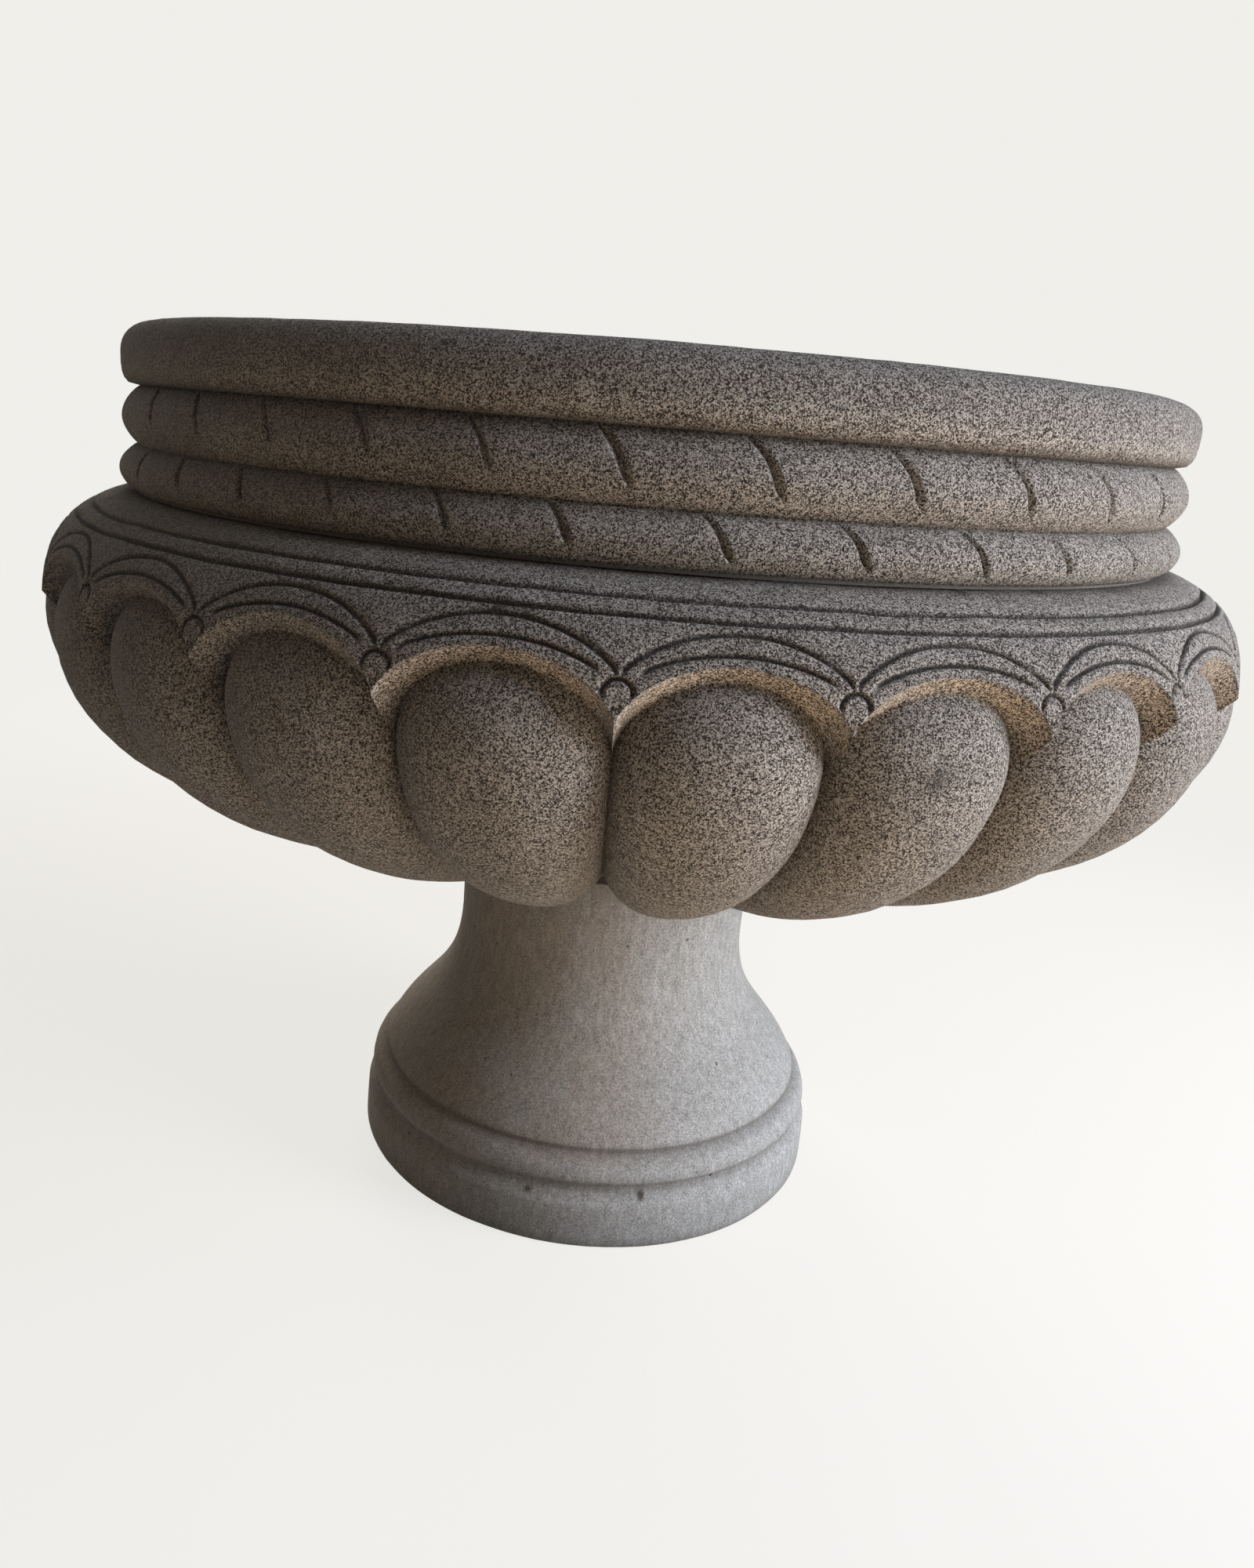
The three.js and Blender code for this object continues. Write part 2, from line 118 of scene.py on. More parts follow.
class Mix:
    """Sockets of Blender's Mix node when it mixes colours."""

    A, B, RESULT = 6, 7, 2


class Recipe:
    """The steps that finishes share. Each adds one node and returns its output."""

    def __init__(self, tree: bpy.types.NodeTree) -> None:
        """Starts from the places on the piece."""
        self.tree = tree
        self.place = add_node(tree, "TexCoord").outputs["Object"]

    def stretched(self, shares: tuple[float, float, float]) -> Socket:
        """The places with each axis shortened, which draws a pattern out along it."""
        return self.vectors("MULTIPLY", {0: self.place, 1: shares})

    def vectors(self, operation: str, inputs: Mapping[SocketKey, Any]) -> Socket:
        """A sum with vectors or colours."""
        return add_node(self.tree, "VectorMath", inputs, operation=operation).outputs["Vector"]

    def numbers(self, operation: str, *inputs: Any, clamp: bool = False) -> Socket:
        """A sum with plain numbers, held within 0 to 1 if clamped."""
        settings = {"operation": operation, "use_clamp": clamp}
        return add_node(self.tree, "Math", dict(enumerate(inputs)), **settings).outputs["Value"]

    def noise(
        self, pitch: float, detail: float, roughness: float = 0.5, place: Optional[Socket] = None
    ) -> bpy.types.Node:
        """Cloudy noise that changes over a pitch in millimetres."""
        values = {"Scale": 1 / (pitch * MM), "Detail": detail, "Roughness": roughness}
        return add_node(self.tree, "TexNoise", {**values, "Vector": place or self.place})

    def cells(self, pitch: float, place: Socket) -> bpy.types.Node:
        """Cells one pitch wide in millimetres, each of a colour of its own."""
        return add_node(self.tree, "TexVoronoi", {"Scale": 1 / (pitch * MM), "Vector": place})

    def remap(
        self, value: Socket, start: float, end: float, low: float = 0.0, high: float = 1.0
    ) -> Socket:
        """Turns start to end into low to high, and holds it there outside."""
        limits = {"From Min": start, "From Max": end, "To Min": low, "To Max": high}
        return add_node(self.tree, "MapRange", {**limits, "Value": value}).outputs["Result"]

    def ramp(self, value: Socket, *stops: tuple[float, str]) -> Socket:
        """A colour picked by a value from hex colours at places along a ramp."""
        return add_node(self.tree, "ValToRGB", {0: value}, stops).outputs["Color"]

    def mix(self, share: Any, first: Any, second: Any) -> Socket:
        """The first colour, with a share of the second."""
        inputs = {0: share, Mix.A: first, Mix.B: second}
        return add_node(self.tree, "Mix", inputs, data_type="RGBA").outputs[Mix.RESULT]

    def split(self, colour: Socket) -> bpy.types.Node:
        """The red, green and blue of a colour."""
        return add_node(self.tree, "SeparateColor", {0: colour})

    def painted(self, name: str) -> Socket:
        """The value that the mesh carries under a name, such as the one for grime and painted
        shade.
        """
        return add_node(self.tree, "Attribute", attribute_name=name).outputs["Fac"]

    def relief(self, height: Socket, strength: float, deep: float) -> Socket:
        """Bumps of a depth in millimetres."""
        inputs = {"Strength": strength, "Distance": deep * MM, "Height": height}
        return add_node(self.tree, "Bump", inputs).outputs["Normal"]

    def surface(self, colour: Socket, roughness: Socket, normal: Socket, **values: float) -> Socket:
        """The finished surface.

        Args:
            colour: its base colour.
            roughness: how dull it is.
            normal: its bumps.
            values: the shader's other inputs, with _ for a space in their names.

        Returns:
            The shader socket.
        """
        inputs = {"Base Color": colour, "Roughness": roughness, "Normal": normal}
        inputs.update({name.replace("_", " "): value for name, value in values.items()})
        return add_node(self.tree, "BsdfPrincipled", inputs).outputs["BSDF"]


def looked_at(tree: bpy.types.NodeTree) -> Socket:
    """Tells rays that show a thing from rays that only light by it.

    Args:
        tree: the node tree of a material or world.

    Returns:
        1 for what is seen straight, mirrored or through something clear, else 0.
    """
    rays = add_node(tree, "LightPath").outputs
    straight, mirrored = rays["Is Camera Ray"], rays["Is Glossy Ray"]
    seen = add_node(tree, "Math", {0: straight, 1: mirrored}, operation="MAXIMUM")
    inputs = {0: seen.outputs["Value"], 1: rays["Is Transmission Ray"]}
    return add_node(tree, "Math", inputs, operation="MAXIMUM").outputs["Value"]


# ---------------------------------------------------------------- finishes


@dataclass(frozen=True)
class Finish:
    """What every finish shares: its name and how it becomes a material."""

    name: str

    def material(self) -> bpy.types.Material:
        """Makes the material, or returns it if it has been made.

        Returns:
            The Blender material of this finish.
        """
        made = bpy.data.materials.get(self.name)
        if made:
            return made
        made = bpy.data.materials.new(self.name)
        made.use_nodes = True
        made.node_tree.nodes.clear()
        shader = self.shade(Recipe(made.node_tree))
        add_node(made.node_tree, "OutputMaterial", {"Surface": shader})
        return made

    def shade(self, recipe: Recipe) -> Socket:
        """Builds the finish's nodes and returns the shader socket."""
        raise NotImplementedError


@dataclass(frozen=True)
class BushHammeredGranite(Finish):
    """Medium grained granite, bush-hammered: matt, rough and speckled all over.

    Feldspar and quartz give pale and grey grains, biotite mica dark brown ones. The
    hammer's points leave a close pecking about as coarse as the grains. Grime with painted
    shade darkens the cuts, valleys and creases, and painted warm bounce light gives the
    coves and undersides a paler tan, as of unweathered stone out of the rain.
    Grain, fleck, pecking and patch are pitches in millimetres.
    """

    name: str = "bush_hammered_granite"
    biotite: str = "#1b1611"
    smoky_quartz: str = "#4c443b"
    quartz: str = "#7c7367"
    feldspar: str = "#a59b8e"
    pale_feldspar: str = "#ccc4b8"
    # grime colour, mixed in where the mesh paints grime with painted shade in cuts, valleys and
    # creases
    dirt_and_shade: str = "#2c251f"
    # painted bounce light: brightens and warms coves, undersides and valleys
    fresh_and_bounce_light: tuple[float, float, float] = (1.46, 1.33, 1.16)
    grain: float = 0.95
    fleck: float = 0.62
    pecking: float = 1.3
    patch: float = 90.0
    roughness: float = 0.9
    ior: float = 1.55

    def shade(self, recipe: Recipe) -> Socket:
        """Builds the granite's grains, patchy tone, grime with painted shade, painted bounce light
        and hammered relief.

        Args:
            recipe: the steps, in the material's tree.

        Returns:
            The shader socket.
        """
        wander = recipe.noise(self.grain, 2.0).outputs["Color"]
        bend = {0: wander, 1: (self.grain * MM,) * 3, 2: recipe.place}
        bent = recipe.vectors("MULTIPLY_ADD", bend)
        grains, flecks = recipe.cells(self.grain, bent), recipe.cells(self.fleck, bent)
        mineral = recipe.mix(0.5, grains.outputs["Color"], flecks.outputs["Color"])
        pick = recipe.split(mineral).outputs
        stone = recipe.ramp(
            pick["Red"],
            (0.33, self.biotite),
            (0.42, self.smoky_quartz),
            (0.49, self.quartz),
            (0.57, self.feldspar),
            (0.67, self.pale_feldspar),
        )
        patches = recipe.noise(self.patch, 3.0, 0.6).outputs["Fac"]
        tone = recipe.remap(patches, 0.3, 0.7, 0.9, 1.08)
        toned = recipe.vectors("SCALE", {0: stone, "Scale": tone})
        # painted bounce light on coves and undersides, paler and warmer
        fresher_and_lit = recipe.vectors("MULTIPLY", {0: toned, 1: self.fresh_and_bounce_light})
        stain_and_painted_light = recipe.mix(recipe.painted("shelter_and_painted_light"), toned, fresher_and_lit)
        pecks = recipe.noise(self.pecking, 3.0, 0.65).outputs["Fac"]
        patchy = recipe.remap(pecks, 0.35, 0.65, 0.55, 1.45)
        # grime and painted shade: cuts, valleys, creases and the shoulder under the joint darker
        dirt_and_shade_share = recipe.numbers("MULTIPLY", recipe.painted("dirt_and_shade"), patchy, clamp=True)
        colour = recipe.mix(dirt_and_shade_share, stain_and_painted_light, linear(self.dirt_and_shade))
        hammered = recipe.numbers("MULTIPLY_ADD", pick["Green"], 0.35, pecks)
        bump = recipe.relief(hammered, 0.85, 1.1)
        sheen = recipe.remap(pick["Blue"], 0, 1, self.roughness - 0.12, self.roughness + 0.06)
        return recipe.surface(colour, sheen, bump, IOR=self.ior, Specular_IOR_Level=0.3)


@dataclass(frozen=True)
class RubbedLimestone(Finish):
    """Fine limestone, turned and rubbed: pale, even and dull, with soft wash streaks.

    The grain is under a millimetre, so it shows as a faint mottle. Rain has drawn weak
    upright streaks, and small shells have fallen out and left pits. Blotches of brown
    staining lie where rain does not wash it, on the side away from the key lamp, and paint
    that side's warm shade as well. Grime with painted shade darkens the grooves and the
    neck under the bowl. Patch, mottle, streak and pit are pitches in millimetres.
    """

    name: str = "rubbed_limestone"
    dark: str = "#7b7871"
    ground: str = "#b3b1aa"
    light: str = "#dbdad6"
    # grime colour, which also paints shade in the grooves and under the bowl
    dirt_and_shade: str = "#51483e"
    # brown staining that also paints the warm shade of the side away from the key lamp
    stain_and_warm_shade: tuple[float, float, float] = (0.93, 0.84, 0.76)
    patch: float = 60.0
    mottle: float = 1.7
    streak: float = 6.0
    pit: float = 15.0
    roughness: float = 0.82
    ior: float = 1.5

    def shade(self, recipe: Recipe) -> Socket:
        """Builds the limestone's mottle, upright streaks, brown staining with painted warm shade,
        grime with painted shade and pits.

        Args:
            recipe: the steps, in the material's tree.

        Returns:
            The shader socket.
        """
        mottle = recipe.noise(self.mottle, 4.0, 0.7).outputs["Fac"]
        drawn_out = recipe.stretched((1, 1, 0.3))
        streaks = recipe.noise(self.streak, 3.0, 0.6, drawn_out).outputs["Fac"]
        blend = {0: 0.25, 2: mottle, 3: streaks}
        shade = add_node(recipe.tree, "Mix", blend, data_type="FLOAT").outputs[0]
        stone = recipe.ramp(shade, (0.34, self.dark), (0.5, self.ground), (0.64, self.light))
        shells = recipe.cells(self.pit, recipe.place).outputs
        few = recipe.split(shells["Color"]).outputs["Red"]
        size = recipe.remap(few, 0.8, 1.0, 0.0, 0.17)
        pits = recipe.remap(recipe.numbers("SUBTRACT", size, shells["Distance"]), 0.0, 0.03)
        patches = recipe.noise(self.patch, 4.0, 0.6, drawn_out).outputs["Fac"]
        blotches = recipe.remap(patches, 0.36, 0.6, 0.35, 1.15)
        # brown staining on the side away from the washed, lit side, painting its warm shade too
        unwashed_and_shaded = recipe.numbers("MULTIPLY", recipe.painted("shelter_and_painted_light"), blotches, clamp=True)
        browned = recipe.vectors("MULTIPLY", {0: stone, 1: self.stain_and_warm_shade})
        stain_and_painted_light = recipe.mix(unwashed_and_shaded, stone, browned)
        # grime with painted shade, and the dark pits
        dirt_and_shade_share = recipe.numbers("MULTIPLY_ADD", pits, 0.7, recipe.painted("dirt_and_shade"), clamp=True)
        colour = recipe.mix(dirt_and_shade_share, stain_and_painted_light, linear(self.dirt_and_shade))
        bump = recipe.relief(recipe.numbers("MULTIPLY_ADD", pits, -0.8, mottle), 0.5, 0.5)
        dullness = recipe.remap(shade, 0, 1, self.roughness - 0.1, self.roughness + 0.1)
        return recipe.surface(colour, dullness, bump, IOR=self.ior, Specular_IOR_Level=0.35)


@dataclass(frozen=True)
class LimeMortar(Finish):
    """Lime mortar struck back in the joint: sandy, crumbling and grey with soot."""

    name: str = "lime_mortar"
    dark: str = "#655d54"
    light: str = "#a0988e"
    sand: float = 1.0
    roughness: float = 0.95
    ior: float = 1.5

    def shade(self, recipe: Recipe) -> Socket:
        """Builds the mortar's sand grains and crumbled relief.

        Args:
            recipe: the steps, in the material's tree.

        Returns:
            The shader socket.
        """
        sand = recipe.noise(self.sand, 4.0, 0.7).outputs["Fac"]
        colour = recipe.ramp(sand, (0.35, self.dark), (0.7, self.light))
        dullness = recipe.remap(sand, 0, 1, self.roughness - 0.08, self.roughness + 0.05)
        return recipe.surface(colour, dullness, recipe.relief(sand, 0.8, 0.8), IOR=self.ior)


@dataclass(frozen=True)
class DrawnStainless(Finish):
    """Stainless steel bar, drawn and sawn: bright, with fine lines along the bar."""

    name: str = "drawn_stainless"
    dark: str = "#a9abad"
    light: str = "#cfd1d2"
    line: float = 0.25
    roughness: float = 0.34

    def shade(self, recipe: Recipe) -> Socket:
        """Builds the steel's drawn lines and faint scale.

        Args:
            recipe: the steps, in the material's tree.

        Returns:
            The shader socket.
        """
        along = recipe.stretched((1, 1, 0.02))
        lines = recipe.noise(self.line, 2.0, place=along).outputs["Fac"]
        colour = recipe.ramp(lines, (0.3, self.dark), (0.7, self.light))
        gloss = recipe.remap(lines, 0, 1, self.roughness - 0.08, self.roughness + 0.1)
        return recipe.surface(colour, gloss, recipe.relief(lines, 0.15, 0.05), Metallic=1.0)


@dataclass(frozen=True)
class MouldedPolypropylene(Finish):
    """Polypropylene drain sleeve, moulded: dark grey with the mould's fine grain."""

    name: str = "moulded_polypropylene"
    dark: str = "#2f3031"
    light: str = "#434445"
    texture: float = 0.6
    roughness: float = 0.55
    ior: float = 1.49

    def shade(self, recipe: Recipe) -> Socket:
        """Builds the sleeve's moulded grain and dusty tone.

        Args:
            recipe: the steps, in the material's tree.

        Returns:
            The shader socket.
        """
        grain = recipe.noise(self.texture, 2.0).outputs["Fac"]
        colour = recipe.ramp(grain, (0.3, self.dark), (0.75, self.light))
        gloss = recipe.remap(grain, 0, 1, self.roughness - 0.1, self.roughness + 0.1)
        return recipe.surface(colour, gloss, recipe.relief(grain, 0.3, 0.1), IOR=self.ior)


@dataclass(frozen=True)
class StudioPaper(Finish):
    """Seamless matt paper under the urn. It shows pale and keeps the urn's shadow.

    Near and far are the distances in metres over which it fades into the backdrop.
    """

    name: str = "studio_paper"
    paper: str = "#8a8782"
    backdrop: str = "#f0efeb"
    glow: float = 0.86
    near: float = 1.0
    far: float = 2.6

    def shade(self, recipe: Recipe) -> Socket:
        """Builds the paper, which glows for the camera and fades into the backdrop.

        Args:
            recipe: the steps, in the material's tree.

        Returns:
            The shader socket.
        """
        tree, pale = recipe.tree, linear(self.backdrop)
        distance = add_node(tree, "VectorMath", {0: recipe.place}, operation="LENGTH")
        reach = {"From Min": self.near, "From Max": self.far, "Value": distance.outputs["Value"]}
        fade = add_node(tree, "MapRange", reach, interpolation_type="SMOOTHSTEP")
        plain = add_node(tree, "BsdfDiffuse", {"Color": linear(self.paper)}).outputs[0]
        glow = add_node(tree, "Emission", {"Color": pale, "Strength": self.glow}).outputs[0]
        lifted = add_node(tree, "AddShader", {0: plain, 1: glow}).outputs[0]
        backdrop = add_node(tree, "Emission", {"Color": pale}).outputs[0]
        mixed = {0: fade.outputs["Result"], 1: lifted, 2: backdrop}
        faded = add_node(tree, "MixShader", mixed).outputs[0]
        return add_node(tree, "MixShader", {0: looked_at(tree), 1: plain, 2: faded}).outputs[0]


GRANITE = BushHammeredGranite()
LIMESTONE = RubbedLimestone()
MORTAR = LimeMortar()
STAINLESS = DrawnStainless()
POLYPROPYLENE = MouldedPolypropylene()
PAPER = StudioPaper()


class Slot(Enum):
    """The record's material slots."""

    GRANITE = "granite"
    PALE_STONE = "pale_stone"
    MORTAR = "mortar"
    STAINLESS = "stainless"
    DRAIN_PLASTIC = "drain_plastic"


# ---------------------------------------------------------------- shaping helpers


def smooth(share: Points) -> Points:
    """Eases 0..1 in and out, and holds it there outside."""
    held = np.clip(share, 0.0, 1.0)
    return held * held * (3 - 2 * held)


def cut_profile(distance: Points, half_width: float, depth: float) -> Points:
    """Depth of a rounded V cut at a distance from its middle line."""
    share = np.clip(1 - np.abs(distance) / half_width, 0.0, 1.0)
    return depth * share**0.8


def spread(
    start: Points,
    end: Points,
    count: int,
    at_start: Sequence[float] = (),
    at_end: Sequence[float] = (),
) -> list[Points]:
    """Rows between two curves, some of them at fixed distances from either curve.

    Args:
        start: places of the first curve, one for each column.
        end: places of the last curve.
        count: evenly spaced rows between the fixed ones.
        at_start: distances of rows from the first curve.
        at_end: distances of rows from the last curve, the largest first.

    Returns:
        The rows after the first curve, up to and with the last one.
    """
    most = FIXED_ROWS_SHARE * (end - start)
    low = start + np.minimum(at_start[-1] if at_start else 0.0, most)
    high = end - np.minimum(at_end[0] if at_end else 0.0, most)
    rows = [start + (low - start) * step / at_start[-1] for step in at_start]
    parts = count + 1 if at_end else count
    rows += [low + (high - low) * step / parts for step in range(1, count + 1)]
    rows += [end - (end - high) * step / at_end[0] for step in at_end]
    return rows + [end] if at_end else rows


@dataclass(frozen=True)
class HandWork:
    """Smooth seeded noise that stands for the unevenness of hand cut stone."""

    seed: int
    lattice: int = 32

    def unevenness(self, points: Points, pitch: float) -> Points:
        """Noise from -1 to 1 that changes over a distance.

        Args:
            points: places in millimetres, as rows of three.
            pitch: the distance over which it changes.

        Returns:
            One value for each place.
        """
        table = np.random.default_rng(self.seed).uniform(-1, 1, (self.lattice,) * 3)
        place = points / pitch
        cell = np.floor(place).astype(int)
        share = smooth(place - cell)
        total = np.zeros(len(points))
        for corner in itertools.product((0, 1), repeat=3):
            weight = np.prod(np.where(corner, share, 1 - share), axis=1)
            x, y, z = ((cell + corner) % self.lattice).T
            total += weight * table[x, y, z]
        return total

    def tooling(self, points: Points, *layers: tuple[float, float]) -> Points:
        """Adds up layers of unevenness, each a height and a pitch in millimetres."""
        return sum(height * self.unevenness(points, pitch) for height, pitch in layers)


@dataclass(frozen=True)
class Section:
    """A smooth outline in radius and height, walked by its length in millimetres."""

    radius: Points
    height: Points
    length: Points

    @classmethod
    def through(cls, *curves: Sequence[tuple[float, float]]) -> "Section":
        """Joins cubic curves, each given by its four control points.

        Args:
            curves: control points as (radius, height), each curve from the last one's end.

        Returns:
            The outline with its running length.
        """
        share = np.linspace(0, 1, CURVE_POINTS)[:, None]
        parts = []
        for curve in curves:
            a, b, c, d = np.array(curve, float)
            rest = 1 - share
            parts.append(
                rest**3 * a + 3 * rest**2 * share * b + 3 * rest * share**2 * c + share**3 * d
            )
        line = np.concatenate([parts[0]] + [part[1:] for part in parts[1:]])
        steps = np.hypot(*np.diff(line, axis=0).T)
        return cls(line[:, 0], line[:, 1], np.concatenate([[0.0], np.cumsum(steps)]))

    def at(self, place: Points) -> tuple[Points, Points, Points, Points]:
        """Finds places along the outline.

        Args:
            place: lengths from the outline's start.

        Returns:
            Radius, height and the radial and upward share of the way out.
        """
        before, here, after = (
            [np.interp(place + step, self.length, line) for line in (self.radius, self.height)]
            for step in (-DIRECTION_STEP, 0.0, DIRECTION_STEP)
        )
        radius, height = here
        along_r, along_z = after[0] - before[0], after[1] - before[1]
        size = np.hypot(along_r, along_z)
        return radius, height, along_z / size, -along_r / size


def on_ring(angle: Points, radius: Points, height: Points) -> Points:
    """Places on the urn from their angle in radians, radius and height."""
    radius, height = (np.broadcast_to(value, angle.shape) for value in (radius, height))
    return np.stack([radius * np.sin(angle), -radius * np.cos(angle), height], axis=1)


class Skin:
    """Gathers rings of points and the faces between them, and makes a mesh of them."""

    def __init__(self) -> None:
        """Starts with no rings."""
        self.rings: list[Points] = []
        self.dirt_and_shade: list[Points] = []
        self.shelter_and_painted_light: list[Points] = []
        self.faces: list[list[int]] = []
        self.count = 0

    def ring(
        self,
        points: Points,
        dirt_and_shade: Union[Points, float] = 0.0,
        shelter_and_painted_light: Union[Points, float] = 0.0,
    ) -> range:
        """Adds a ring of points.

        Args:
            points: places in millimetres, in order round the urn.
            dirt_and_shade: how much grime and painted shade darken each point, 0 to 1.
            shelter_and_painted_light: how far each point is out of the rain, 0 to 1; it also paints
                bounce light on the granite and warm shade on the limestone.

        Returns:
            The indices of the ring's points.
        """
        size = len(points)
        self.rings.append(points)
        self.dirt_and_shade.append(np.broadcast_to(dirt_and_shade, size))
        self.shelter_and_painted_light.append(np.broadcast_to(shelter_and_painted_light, size))
        self.count += size
        return range(self.count - size, self.count)

    def join(self, lower: range, upper: range) -> None:
        """Fills the band between two rings, whose counts are multiples of each other.

        Args:
            lower: the ring that comes first going up the outside.
            upper: the ring that comes next.
        """
        if len(lower) == len(upper):
            a, b = np.array(lower), np.array(upper)
            quads = np.stack([a, np.roll(a, -1), np.roll(b, -1), b], axis=1)
            self.faces.extend(quads.tolist())
            return
        flip = len(upper) < len(lower)
        fine, coarse = (lower, upper) if flip else (upper, lower)
        ratio = len(fine) // len(coarse)
        middle = ratio // 2
        for i, hub in enumerate(coarse):
            edge = [fine[(i * ratio + step) % len(fine)] for step in range(ratio + 1)]
            onward = coarse[(i + 1) % len(coarse)]
            fans = [[hub, edge[step + 1], edge[step]] for step in range(middle)]
            fans += [[onward, edge[step + 1], edge[step]] for step in range(middle, ratio)]
            fans.append([hub, onward, edge[middle]])
            self.faces.extend([face[::-1] for face in fans] if flip else fans)

    def stack(self, rings: Sequence[range], closed: bool = False) -> None:
        """Joins rings in order, and the last to the first if closed."""
        for lower, upper in itertools.pairwise(rings):
            self.join(lower, upper)
        if closed:
            self.join(rings[-1], rings[0])

    def piece(
        self, name: str, finish: Finish, slot: Slot, *nodes: str, sharp: float = 45.0
    ) -> bpy.types.Object:
        """Makes the object, dresses it and ties it to the frame.

        Args:
            name: the piece's name.
            finish: its finish.
            slot: the record's slot for this finish; not used.
            nodes: the CAD nodes that it stands for.
            sharp: edges that turn by more than this many degrees stay crisp.

        Returns:
            The object, riding on the urn's body.
        """
        mesh = bpy.data.meshes.new(name)
        mesh.from_pydata((np.concatenate(self.rings) * MM).tolist(), [], self.faces)
        # painted values: grime with painted shade, and shelter with painted bounce light or warm
        # shade
        for label, values in (("dirt_and_shade", self.dirt_and_shade), ("shelter_and_painted_light", self.shelter_and_painted_light)):
            held = np.clip(np.concatenate(values), 0, 1).astype(np.float32)
            mesh.attributes.new(label, "FLOAT", "POINT").data.foreach_set("value", held)
        mesh.shade_smooth()
        mesh.set_sharp_from_angle(angle=math.radians(sharp))
        mesh.materials.append(finish.material())
        made = bpy.data.objects.new(name, mesh)
        bpy.context.scene.collection.objects.link(made)
        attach(made, BODY)
        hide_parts(*nodes)
        log.info("%s: %d faces, %s", name, len(mesh.polygons), finish.name)
        return made


# ---------------------------------------------------------------- bowl


@dataclass(frozen=True)
class Arcade:
    """The band of carving over the lobes. Places are lengths along the bowl's section.

    Near the bosses the rows of points crowd together: boss_rows are shares of the rows
    and boss_shares the shares of the band's height where they lie.
    """

    edge_spring: float = 526.0
    edge_rise: float = 41.5
    edge_fullness: float = 0.65
    inner_spring: float = 549.0
    inner_rise: float = 25.8
    outer_spring: float = 556.0
    outer_rise: float = 33.7
    arc_fullness: float = 0.8
    inner_end: float = 0.84
    outer_end: float = 0.99
    end_fade: float = 0.03
    lower_line: float = 598.0
    upper_line: float = 615.0
    inner_half_width: float = 2.1
    outer_half_width: float = 2.4
    lower_half_width: float = 2.6
    upper_half_width: float = 2.8
    arc_depth: float = 3.0
    line_depth: float = 4.0
    boss_place: float = 544.5
    boss_groove: float = 9.7
    boss_groove_half_width: float = 2.0
    boss_groove_depth: float = 3.2
    boss_foot: float = 11.0
    boss_foot_fade: float = 4.0
    boss_rows: tuple[float, ...] = (0.0, 0.07, 0.64, 0.82, 1.0)
    boss_shares: tuple[float, ...] = (0.0, 0.11, 0.47, 0.64, 0.9)


@dataclass(frozen=True)
class Mark:
    """A dark mark in the stone: its angle, its place along the section and its size."""

    angle: float
    place: float
    radius: float
    strength: float

    def dirt_and_shade(self, angle: Points, place: Points, radius: Points) -> Points:
        """How dark the mark makes each point, 0 to 1."""
        turn = np.mod(angle - math.radians(self.angle) + math.pi, 2 * math.pi) - math.pi
        beside = turn * radius
        away = np.hypot(beside, place - self.place)
        return self.strength * smooth(1.5 - away / self.radius)


